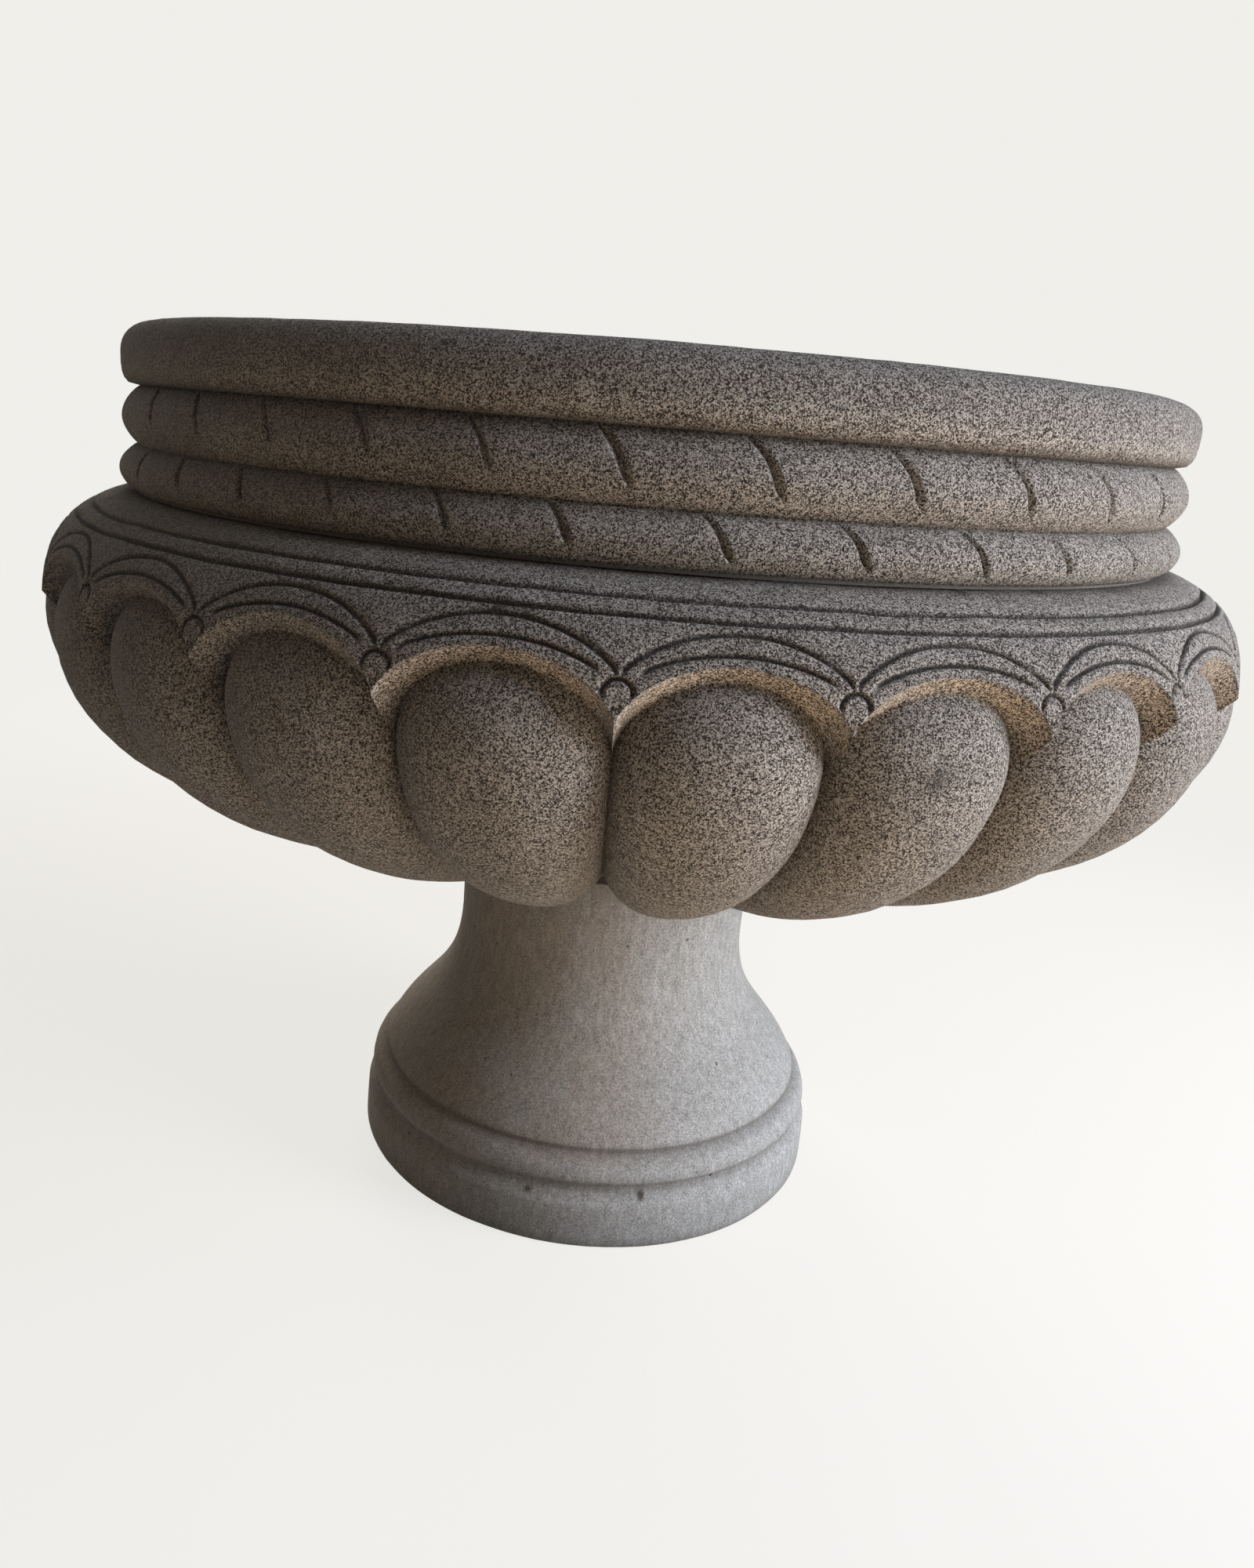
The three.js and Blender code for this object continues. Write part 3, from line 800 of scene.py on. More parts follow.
@dataclass
class Bowl:
    """The gadrooned bowl, one block of granite with its hollow and drain hole.

    The valleys that the photograph shows stray by front_strays degrees from an even
    division, and front_fresh_and_bounce_light is how much painted bounce light pales and warms the
    coves there, least on the shaded left, from two lobes before the first valley. The other
    lobes' values are drawn at random.
    """

    seat_radius: float = 163.0
    seat_height: float = 354.0
    belly_radius: float = 572.0
    belly_height: float = 605.0
    underside_handle: tuple[float, float] = (360.0, 404.0)
    belly_below: float = 441.0
    belly_above: float = 650.0
    shoulder_handle: tuple[float, float] = (548.0, 687.0)
    shoulder_radius: float = 496.0
    shoulder_height: float = 697.0
    lobes: int = 24
    first_valley: float = -30.8
    front_strays: tuple[float, ...] = (-0.1, 0.0, 0.5, 0.3, 0.1, -0.5)
    lobe_depth_limit: float = 58.0
    depth_per_half_width: float = 1.2
    flank_reach: float = 0.94
    fullness: float = 2.3
    dome_start: float = 466.0
    dome_length: float = 124.0
    crease_spring: float = 487.3
    tip_rise: float = 72.5
    run_out: float = 30.0
    cove_straightness: tuple[float, float] = (0.55, 0.45)  # at the crown, and more by the valleys
    worn_arris: tuple[float, float] = (0.9, 2.2)  # depth and width
    seat_share: float = 0.5  # how much of the lobes' depth is left at the seat
    allowance: float = 0.6  # the stone is dressed back this far, so no bump stands out
    # painted shade: valleys, lobe tops under the coves, creases, cuts with their grime, the
    # shoulder under the joint and the hollow are darkened
    valley_shade: float = 0.55
    under_crease_shade: tuple[float, float] = (0.14, 14.0)  # strength and reach
    crease_shade: float = 0.18
    cut_dirt_and_shade: tuple[float, float] = (0.85, 2.0)  # strength, and the depth that has all of it
    joint_shadow: tuple[float, float] = (0.55, 13.0)  # strength and reach
    hollow_dirt_and_shade: float = 0.25
    # painted bounce light: the hollow, the lobes' undersides and valleys paler and warmer
    hollow_shelter_and_light: float = 0.4
    side_shelter_and_bounce_light: float = 0.3
    underside_reach: float = 460.0
    mouth_radius: float = 430.0
    floor_height: float = 426.0
    floor_radius: float = 150.0
    hollow_radius: float = 442.0
    hollow_waist: float = 640.0
    hollow_handles: tuple[float, float, float] = (330.0, 430.0, 510.0)
    drain_radius: float = 25.5
    rebate_radius: float = 36.5
    rebate_depth: float = 4.0
    seat_width: float = 15.0
    lobe_rows: int = 32
    row_crowding: float = 1.35
    valley_columns: tuple[float, ...] = (
        *(0.3, 0.9, 1.7, 2.6, 3.5, 4.4, 5.4),
        *(6.4, 7.4, 8.4, 9.4, 10.4, 11.5, 12.8),
    )
    lobe_columns: int = 25
    hollow_columns: int = 104
    # painted bounce light in the coves, least on the shaded left
    front_fresh_and_bounce_light: tuple[float, ...] = (0.1, 0.1, 0.15, 0.8, 1.0, 1.1, 1.0, 1.0)
    arcade: Arcade = field(default_factory=Arcade)
    marks: tuple[Mark, ...] = (
        Mark(21.0, 498.0, 9.0, 0.75),
        Mark(0.9, 424.0, 5.0, 0.5),
        Mark(-8.4, 594.0, 7.0, 0.6),
        Mark(-6.6, 592.0, 5.0, 0.5),
        Mark(151.0, 520.0, 10.0, 0.6),
        Mark(238.0, 470.0, 12.0, 0.5),
        Mark(34.6, 648.0, 5.0, 0.8),
        Mark(26.3, 648.0, 4.0, 0.8),
    )
    hand: HandWork = field(default_factory=lambda: HandWork(seed=24))

    def __post_init__(self) -> None:
        """Sets out the section and the columns round the bowl."""
        seat = (self.seat_radius, self.seat_height)
        belly = (self.belly_radius, self.belly_height)
        self.section = Section.through(
            [seat, self.underside_handle, (self.belly_radius, self.belly_below), belly],
            [
                belly,
                (self.belly_radius, self.belly_above),
                self.shoulder_handle,
                (self.shoulder_radius, self.shoulder_height),
            ],
        )
        half_width = math.pi * self.belly_radius / self.lobes
        right = 1 - np.array(self.valley_columns) / half_width
        middle = np.linspace(-right[-1], right[-1], self.lobe_columns)[1:-1]
        one_lobe = np.concatenate([[-1.0], -right, middle, right[::-1]])
        self.across = np.tile(one_lobe, self.lobes)
        lobe = np.repeat(np.arange(self.lobes), len(one_lobe))
        chance = np.random.default_rng(self.hand.seed)
        valleys = self.first_valley + 360 / self.lobes * np.arange(self.lobes + 1)
        strays = chance.uniform(-0.25, 0.25, self.lobes)
        strays[: len(self.front_strays)] = self.front_strays
        valleys[:-1] += strays
        valleys[-1] = valleys[0] + 360
        share = (self.across + 1) / 2
        self.angle = np.radians(valleys[lobe] * (1 - share) + valleys[lobe + 1] * share)
        self.tip_shift = chance.uniform(-1.6, 1.6, self.lobes)[lobe]
        self.crown_shift = chance.uniform(-0.8, 0.8, self.lobes)[lobe]
        # how much painted bounce light pales each lobe's cove
        fresh_and_bounce_light = chance.uniform(0.4, 0.9, self.lobes)
        for index, value in enumerate(self.front_fresh_and_bounce_light, start=-2):
            fresh_and_bounce_light[index] = value
        self.fresh_and_bounce_light = fresh_and_bounce_light[lobe]

    # Curves of the carving, as a length along the section for each column

    def round_top(self, power: float = 1.0) -> Points:
        """A round arch over each lobe, 1 at its crown and 0 in the valleys."""
        return np.clip(1 - self.across**2, 0, 1) ** power

    def wobble(self, line: int, size: float) -> Points:
        """A slow drift of a cut line round the bowl, as the hand leads the chisel."""
        ring = on_ring(self.angle, self.belly_radius, 137.0 * line)
        return size * self.hand.unevenness(ring, 31.0)

    def lobe_line(self) -> Points:
        """The crease where each lobe's domed end meets its cove."""
        return self.crease_spring + (self.tip_rise + self.tip_shift) * self.round_top(0.5)

    def arch(self, line: int, spring: float, rise: float, fullness: float) -> Points:
        """A cut that springs from the valleys and rises over each lobe."""
        top = self.round_top(fullness)
        return spring + (rise + self.crown_shift) * top + self.wobble(line, 0.5) * top

    def arch_edge(self) -> Points:
        """The arris between a cove and the flat band over it."""
        cut = self.arcade
        return self.arch(1, cut.edge_spring, cut.edge_rise, cut.edge_fullness)

    def inner_arc(self) -> Points:
        """Middle of the inner incised arc."""
        cut = self.arcade
        return self.arch(2, cut.inner_spring, cut.inner_rise, cut.arc_fullness)

    def outer_arc(self) -> Points:
        """Middle of the outer incised arc."""
        cut = self.arcade
        return self.arch(3, cut.outer_spring, cut.outer_rise, cut.arc_fullness)

    # Depths of the carving under the uncarved surface

    def lobe_depth(self, place: Points) -> Points:
        """How far the lobes lie under the uncarved surface."""
        radius = self.section.at(place)[0]
        half_width = radius * math.pi / self.lobes
        depth = np.minimum(self.lobe_depth_limit, self.depth_per_half_width * half_width)
        run = smooth(place / self.run_out)
        depth = depth * (self.seat_share + (1 - self.seat_share) * run)
        rise = np.clip((place - self.dome_start) / self.dome_length, 0, None)
        flank = self.flank_reach * np.abs(self.across)
        reach = np.clip(flank**self.fullness + rise**self.fullness, 0, 1)
        return depth * (1 - (1 - reach) ** (1 / self.fullness))

    def cove_depth(self, place: Points, crease: Points, edge: Points) -> Points:
        """How far the coves lie under it, between the lobe's crease and the arris."""
        share = np.clip((edge - place) / (edge - crease), 0, 1)
        hollowed = np.sin(share * math.pi / 2)
        crown, more = self.cove_straightness
        ridged = crown + more * smooth((np.abs(self.across) - 0.8) / 0.2)
        shape = hollowed * (1 - ridged) + share * ridged
        return self.lobe_depth(crease) * shape

    def arcade_depth(self, place: Points) -> Points:
        """Depth of the arcs, lines and bosses cut into the shoulder."""
        cut = self.arcade
        inner, outer = self.inner_arc(), self.outer_arc()
        across = np.abs(self.across)
        off_inner = (place - inner) * self.slant(inner)
        off_outer = (place - outer) * self.slant(outer)
        ends = smooth((cut.inner_end - across) / cut.end_fade)
        deep = ends * cut_profile(off_inner, cut.inner_half_width, cut.arc_depth)
        arc = cut_profile(off_outer, cut.outer_half_width, cut.arc_depth)
        beside, above = self.from_boss(place)
        away = np.hypot(beside, above)
        arc = arc * smooth((away - cut.boss_groove) / 2)
        arc = arc * smooth((cut.outer_end - across) / cut.end_fade)
        deep = np.maximum(deep, arc)
        for line, wobble, half_width in (
            (cut.lower_line, self.wobble(4, 0.7), cut.lower_half_width),
            (cut.upper_line, self.wobble(5, 0.7), cut.upper_half_width),
        ):
            off_line = place - (line + wobble)
            deep = np.maximum(deep, cut_profile(off_line, half_width, cut.line_depth))
        off_groove = away - cut.boss_groove
        horseshoe = cut_profile(off_groove, cut.boss_groove_half_width, cut.boss_groove_depth)
        horseshoe = horseshoe * smooth((above + cut.boss_foot) / cut.boss_foot_fade)
        return np.maximum(deep, horseshoe)

    def slant(self, line: Points) -> Points:
        """Cosine of a line's slope, which turns a height over it into a distance."""
        width = self.belly_radius * self.angle
        rise = np.gradient(np.tile(line, 3))[len(line) : 2 * len(line)]
        run = np.gradient(np.unwrap(np.tile(width, 3), period=2 * math.pi * self.belly_radius))
        run = run[len(line) : 2 * len(line)]
        return np.abs(run) / np.hypot(rise, run)

    def from_boss(self, place: Points) -> tuple[Points, Points]:
        """Distance beside and above the nearest boss's centre."""
        radius = self.section.at(np.full_like(self.across, self.arcade.boss_place))[0]
        beside = (1 - np.abs(self.across)) * radius * math.pi / self.lobes
        return beside, place - self.arcade.boss_place

    # Meshes

    def carved(
        self,
        skin: Skin,
        place: Points,
        depth: Points,
        dirt_and_shade: Points,
        shelter_and_painted_light: Points,
        every: int = 1,
    ) -> range:
        """Adds a ring at some depth under the uncarved surface.

        Args:
            skin: the skin that gets the ring.
            place: length along the section for each column.
            depth: how far under the uncarved surface each point lies.
            dirt_and_shade: grime and painted shade at each point.
            shelter_and_painted_light: how far each point is out of the rain, with painted bounce
                light.
            every: takes every column, or one out of this many.

        Returns:
            The indices of the ring's points.
        """
        radius, height, out_r, out_z = self.section.at(place)
        bare = on_ring(self.angle, radius, height)
        tooling = self.hand.tooling(bare, (0.9, 55.0), (0.35, 17.0))
        depth = np.maximum(depth + tooling + self.allowance, 0.0)
        ring = on_ring(self.angle, radius - depth * out_r, height - depth * out_z)
        for mark in self.marks:
            dirt_and_shade = dirt_and_shade + mark.dirt_and_shade(self.angle, place, radius)
        return skin.ring(ring[::every], dirt_and_shade[::every], shelter_and_painted_light[::every])

    def outside_rows(self, skin: Skin) -> list[range]:
        """Adds every ring of the carved outside, from the seat up to the shoulder."""
        crease, edge = self.lobe_line(), self.arch_edge()
        cut = self.arcade
        inner, outer = self.inner_arc(), self.outer_arc()
        lower = np.full_like(edge, cut.lower_line)
        upper = np.full_like(edge, cut.upper_line)
        top = np.full_like(edge, self.section.length[-1])
        valley = np.abs(self.across) ** 10
        rings = []
        for row in range(self.lobe_rows):
            share = 1 - (1 - row / self.lobe_rows) ** self.row_crowding
            place = crease * share
            depth = self.lobe_depth(place)
            # painted shade in the valleys and on each lobe's top under its cove
            below_crease = smooth(1 - (crease - place) / self.under_crease_shade[1])
            dirt_and_shade = self.valley_shade * valley + self.under_crease_shade[0] * below_crease * self.round_top()
            # painted bounce light, paler and warmer on the undersides and in the valleys
            underside = smooth(1 - place / self.underside_reach)
            shelter_and_painted_light = self.side_shelter_and_bounce_light * underside + self.side_shelter_and_bounce_light * valley
            rings.append(self.carved(skin, place, depth, dirt_and_shade, shelter_and_painted_light, every=2))
        beside_valley = smooth((np.abs(self.across) - 0.7) / 0.25)
        # painted shade along the crease, painted bounce light in the coves, most on the lit side
        dirt_and_shade = np.full_like(crease, self.crease_shade)
        shelter_and_painted_light = 0.6 * self.fresh_and_bounce_light * (1 - beside_valley) + self.side_shelter_and_bounce_light * valley
        rings.append(self.carved(skin, crease, self.lobe_depth(crease), dirt_and_shade, shelter_and_painted_light))
        for place in spread(crease, edge, 4, at_end=(3.0, 1.5)):
            depth = self.cove_depth(place, crease, edge)
            share = np.clip((edge - place) / (edge - crease), 0, 1)
            # painted shade deep in the cove, painted bounce light over the rest
            dirt_and_shade = self.crease_shade * share**3
            shelter_and_painted_light = 0.95 * self.fresh_and_bounce_light * smooth(share * 6)
            shelter_and_painted_light = shelter_and_painted_light * (1 - beside_valley * smooth(share * 1.1))
            rings.append(self.carved(skin, place, depth, dirt_and_shade, shelter_and_painted_light))
        bands = spread(edge, inner, 2, (0.9, 2.0), (2.2, 1.3, 0.6))
        bands += spread(inner, outer, 5, (0.7, 1.5, 2.4), (2.6, 1.6, 0.8))
        bands += spread(outer, lower, 5, (0.9, 1.8, 2.8), (2.8, 1.8, 0.9))
        loose = len(bands) - 4
        crowding = np.interp(np.arange(1, loose + 1) / loose, cut.boss_rows, cut.boss_shares)
        near_boss = smooth((np.abs(self.across) - 0.72) / 0.13)
        for row in range(loose):
            beside_boss = edge + crowding[row] * (lower - edge)
            bands[row] = bands[row] + (beside_boss - bands[row]) * near_boss
        bands += spread(lower, upper, 1, (0.9, 1.8, 2.8), (3.3, 2.2, 1.1))
        bands += spread(upper, top, 3, (1.1, 2.2, 3.3))
        for place in bands:
            worn_deep, worn_wide = self.worn_arris
            worn = worn_deep * np.clip(1 - (place - edge) / worn_wide, 0, 1) ** 2
            cut_deep = self.arcade_depth(place)
            # grime with painted shade in the cuts, and the painted shadow of the ring course under
            # the joint
            dirt_and_shade = self.cut_dirt_and_shade[0] * smooth(cut_deep / self.cut_dirt_and_shade[1])
            below_joint = smooth(1 - (top - place) / self.joint_shadow[1])
            dirt_and_shade = dirt_and_shade + self.joint_shadow[0] * below_joint
            rings.append(self.carved(skin, place, cut_deep + worn, dirt_and_shade, np.zeros_like(place)))
        return rings

    def hollow_rows(self, skin: Skin) -> list[range]:
        """Adds the rings of the hollow, from its mouth down to the drain and the seat."""
        side = Section.through(
            [
                (self.floor_radius, self.floor_height),
                self.hollow_handles[:2],
                (self.hollow_radius, self.hollow_handles[2]),
                (self.hollow_radius, self.hollow_waist),
            ]
        )
        places = np.linspace(side.length[-1], 0, 11)
        outline = [(self.mouth_radius, self.shoulder_height)]
        outline += [(float(side.at(place)[0]), float(side.at(place)[1])) for place in places]
        sunk = self.floor_height - self.rebate_depth
        outline += [
            (self.rebate_radius, self.floor_height),
            (self.rebate_radius, sunk),
            (self.drain_radius, sunk),
            (self.drain_radius, self.seat_height),
            (self.seat_radius - self.seat_width, self.seat_height),
        ]
        angle = self.angle[:: len(self.angle) // self.hollow_columns]
        # the hollow evenly darker with painted shade and paler with painted light
        return [
            skin.ring(on_ring(angle, radius, height), self.hollow_dirt_and_shade, self.hollow_shelter_and_light)
            for radius, height in outline
        ]

    def build(self) -> bpy.types.Object:
        """Builds the bowl and dresses it.

        Returns:
            The bowl.
        """
        skin = Skin()
        rings = self.outside_rows(skin) + self.hollow_rows(skin)
        skin.stack(rings, closed=True)
        return skin.piece("granite_bowl", GRANITE, Slot.GRANITE, "bowl", sharp=62.0)


# ---------------------------------------------------------------- ring course


@dataclass(frozen=True)
class Rope:
    """One roped moulding: a roll between two valleys with slanting gouged cuts.

    Strays are how far the cuts that the photograph shows lie from an even division, in
    degrees. Fades are the shares of the height over which their feet run out. The other
    cuts' values are drawn at random. Each cut has a gentle and a steep side.
    """

    foot_radius: float
    foot_height: float
    top_radius: float
    top_height: float
    bulge: float
    first_cut: float
    slant: float
    rows: int
    strays: tuple[float, ...] = ()
    squareness: float = 0.8
    fades: tuple[float, ...] = ()
    cut_depth: float = 4.8
    gentle_side: float = 5.6
    steep_side: float = 2.2
    foot_fade: float = 0.24
    top_fade: float = 0.08
    # painted shade in the cuts, which also hold grime, and in the valleys
    cut_dirt_and_shade: tuple[float, float] = (0.4, 4.0)  # strength, and the depth that has all of it
    valley_shade: float = 0.45
    bend: float = 0.07

    def swell(self, share: float) -> float:
        """How far the roll stands out, 0 in the valleys and 1 at its middle."""
        return math.sin(math.pi * share) ** self.squareness

    def outline(self, share: float) -> tuple[float, float, float]:
        """Radius, height and the cuts' turn in degrees at a share of its height."""
        radius = self.foot_radius + (self.top_radius - self.foot_radius) * share
        height = self.foot_height + (self.top_height - self.foot_height) * share
        lean = 0.5 - share - self.bend * math.sin(2 * math.pi * share)
        return radius + self.bulge * self.swell(share), height, self.first_cut + self.slant * lean


@dataclass
class RingCourse:
    """The ring of granite over the bowl, with two roped mouldings and the rim."""

    foot_radius: float = 494.0
    foot_height: float = 700.0
    rim_radius: float = 500.0
    overall_height: float = 838.0
    mouth_radius: float = 430.0
    mouth_chamfer: float = 6.0
    rim_round: float = 24.0
    rim_foot: tuple[tuple[float, float, float], ...] = (  # inset, rise, and grime with painted shade, darkest in the crease at the foot
        *((6.0, 1.8, 0.55), (2.4, 6.0, 0.2), (0.8, 11.0, 0.0)),
        *((0.0, 18.0, 0.04), (0.0, 23.0, 0.08)),
    )
    mouth_rows: tuple[tuple[float, float], ...] = ((790.0, 0.3), (745.0, 0.4))  # height, and painted shade, darker deeper in the mouth
    rim_soil: float = 0.14
    allowance: float = 0.4  # the ropes are dressed back this far, so no bump stands out
    cuts: int = 34
    lower: Rope = Rope(
        foot_radius=494.0,
        foot_height=700.0,
        top_radius=487.0,
        top_height=737.0,
        bulge=12.5,
        first_cut=-57.4,
        slant=3.4,
        rows=18,
        strays=(3.7, 2.8, 1.7, 1.1, 0.4, -1.0, 0.0, 0.0, 0.0, -1.3, -1.3, -1.3),
        fades=(0.3, 0.25, 0.25, 0.34, 0.24, 0.2, 0.12, 0.12, 0.12, 0.1, 0.1),
    )
    upper: Rope = Rope(
        foot_radius=487.0,
        foot_height=737.0,
        top_radius=485.0,
        top_height=786.0,
        bulge=14.5,
        first_cut=-54.0,
        slant=4.3,
        rows=22,
        strays=(3.5, 2.2, 1.3, 0.6, -0.1, -0.6, -0.1, 0.4, 0.5, 0.4, 0.5),
        fades=(0.3, 0.3, 0.26, 0.26, 0.2, 0.14, 0.12, 0.12, 0.12, 0.1, 0.1),
    )
    hand: HandWork = field(default_factory=lambda: HandWork(seed=34))

    def __post_init__(self) -> None:
        """Sets out the columns of one cut and the hand's error on each cut."""
        pitch = 2 * math.pi * self.rim_radius / self.cuts
        beside = np.array([-3.4, -2.2, -1.4, -0.7, 0.0, 1.0, 2.0, 3.0, 4.2, 5.4, 6.8])
        rest = np.linspace(6.8, pitch - 3.4, 17)[1:-1]
        self.offset = np.concatenate([beside, rest])
        self.columns = len(self.offset)
        chance = np.random.default_rng(self.hand.seed)
        self.cut_errors, self.cut_strength, self.cut_fade = {}, {}, {}
        for rope in (self.lower, self.upper):
            errors = chance.uniform(-0.6, 0.6, self.cuts)
            errors[: len(rope.strays)] = rope.strays
            self.cut_errors[rope] = np.radians(errors)
            self.cut_strength[rope] = chance.uniform(0.8, 1.1, self.cuts)
            fades = chance.uniform(0.08, 0.26, self.cuts)
            fades[: len(rope.fades)] = rope.fades
            self.cut_fade[rope] = fades

    def angles(self, turn: float, errors: Points) -> Points:
        """Angles of a ring's points, whose columns follow the cuts.

        Args:
            turn: where the first cut lies, in degrees.
            errors: how far each cut strays from its place, in radians.

        Returns:
            One angle in radians for each point.
        """
        step = 2 * math.pi / self.cuts
        share = self.offset / self.rim_radius / step
        onward = np.roll(errors, -1)
        own = errors[:, None] * (1 - share) + onward[:, None] * share
        whole = (np.arange(self.cuts)[:, None] + share) * step
        return math.radians(turn) + (whole + own).ravel()

    def roped(self, skin: Skin, rope: Rope, last: bool) -> list[range]:
        """Adds the rings of one roped moulding.

        Args:
            skin: the skin that gets them.
            rope: the moulding.
            last: whether the ring in its upper valley is added too.

        Returns:
            The rings, bottom to top.
        """
        rings = []
        for row in range(rope.rows + (1 if last else 0)):
            share = row / rope.rows
            radius, height, turn = rope.outline(share)
            angle = self.angles(turn, self.cut_errors[rope])
            distance = np.tile(self.offset, self.cuts)
            fade = np.repeat(self.cut_fade[rope], self.columns)
            open_wide = smooth((share - fade) / rope.foot_fade)
            open_wide = open_wide * smooth((1 - share) / rope.top_fade)
            gentle = rope.gentle_side * open_wide + SHUT_CUT
            steep = rope.steep_side * open_wide + SHUT_CUT
            wall = np.where(distance > 0, 1 - distance / gentle, 1 + distance / steep)
            strength = np.repeat(self.cut_strength[rope], self.columns)
            depth = rope.cut_depth * rope.swell(share) ** 0.5 * open_wide
            depth = depth * np.clip(wall, 0, 1) ** 0.85 * strength
            bare = on_ring(angle, radius, height)
            tooling = self.hand.tooling(bare, (0.8, 48.0), (0.3, 14.0))
            # grime with painted shade in the cuts, painted shade in the valleys
            dirt_and_shade = rope.cut_dirt_and_shade[0] * smooth(depth / rope.cut_dirt_and_shade[1])
            dirt_and_shade = dirt_and_shade + rope.valley_shade * (1 - rope.swell(share)) ** 2.5
            inward = np.maximum(depth + tooling + self.allowance, 0)
            ring = on_ring(angle, radius - inward, height)
            # painted bounce light: each rope's lower face paler and warmer
            rings.append(skin.ring(ring, dirt_and_shade, 0.5 * smooth(1 - 1.6 * share)))
        return rings

    def rim_rows(self, skin: Skin) -> list[range]:
        """Adds the rim's rounded foot, wall and top, and the mouth inside it."""
        top, foot = self.overall_height, self.upper.top_height
        outline = [
            (self.rim_radius - inset, foot + rise, dirt_and_shade) for inset, rise, dirt_and_shade in self.rim_foot
        ]
        for step in range(9):
            turn = step * math.pi / 16
            inset, drop = (self.rim_round * (1 - part) for part in (math.cos(turn), math.sin(turn)))
            outline.append((self.rim_radius - inset, top - drop, self.rim_soil))
        outline += [
            (self.mouth_radius + self.mouth_chamfer + 8, top, 0.0),
            (self.mouth_radius + self.mouth_chamfer, top - 0.4, 0.1),
            (self.mouth_radius + 1.2, top - 3.0, 0.1),
            (self.mouth_radius, top - self.mouth_chamfer - 3, 0.2),
            *((self.mouth_radius, height, dirt_and_shade) for height, dirt_and_shade in self.mouth_rows),
            (self.mouth_radius, self.foot_height, 0.5),
        ]
        turn = self.upper.outline(1.0)[2]
        angle = self.angles(turn, np.zeros(self.cuts))
        rings = []
        for radius, height, dirt_and_shade in outline:
            bare = on_ring(angle, radius, height)
            tooling = self.hand.tooling(bare, (1.0, 70.0), (0.35, 15.0))
            tooling = np.maximum(tooling + 0.5, 0.0)
            inward = tooling if radius > self.mouth_radius + 20 else -0.4 * tooling
            lowered = 0.4 * tooling if height > top - 8 else 0.0
            # painted bounce light under the rim's foot, and evenly inside the mouth
            shelter_and_painted_light = 0.6 * max(0.0, 1 - (height - foot) / 24) if inward[0] >= 0 else 0.3
            points = on_ring(angle, radius - inward, height - lowered)
            rings.append(skin.ring(points, dirt_and_shade, shelter_and_painted_light))
        return rings

    def build(self) -> bpy.types.Object:
        """Builds the ring course and dresses it.

        Returns:
            The ring course.
        """
        skin = Skin()
        rings = self.roped(skin, self.lower, last=False)
        rings += self.roped(skin, self.upper, last=True)
        rings += self.rim_rows(skin)
        skin.stack(rings, closed=True)
        return skin.piece("granite_ring_course", GRANITE, Slot.GRANITE, "collar", sharp=65.0)


# ---------------------------------------------------------------- pedestal


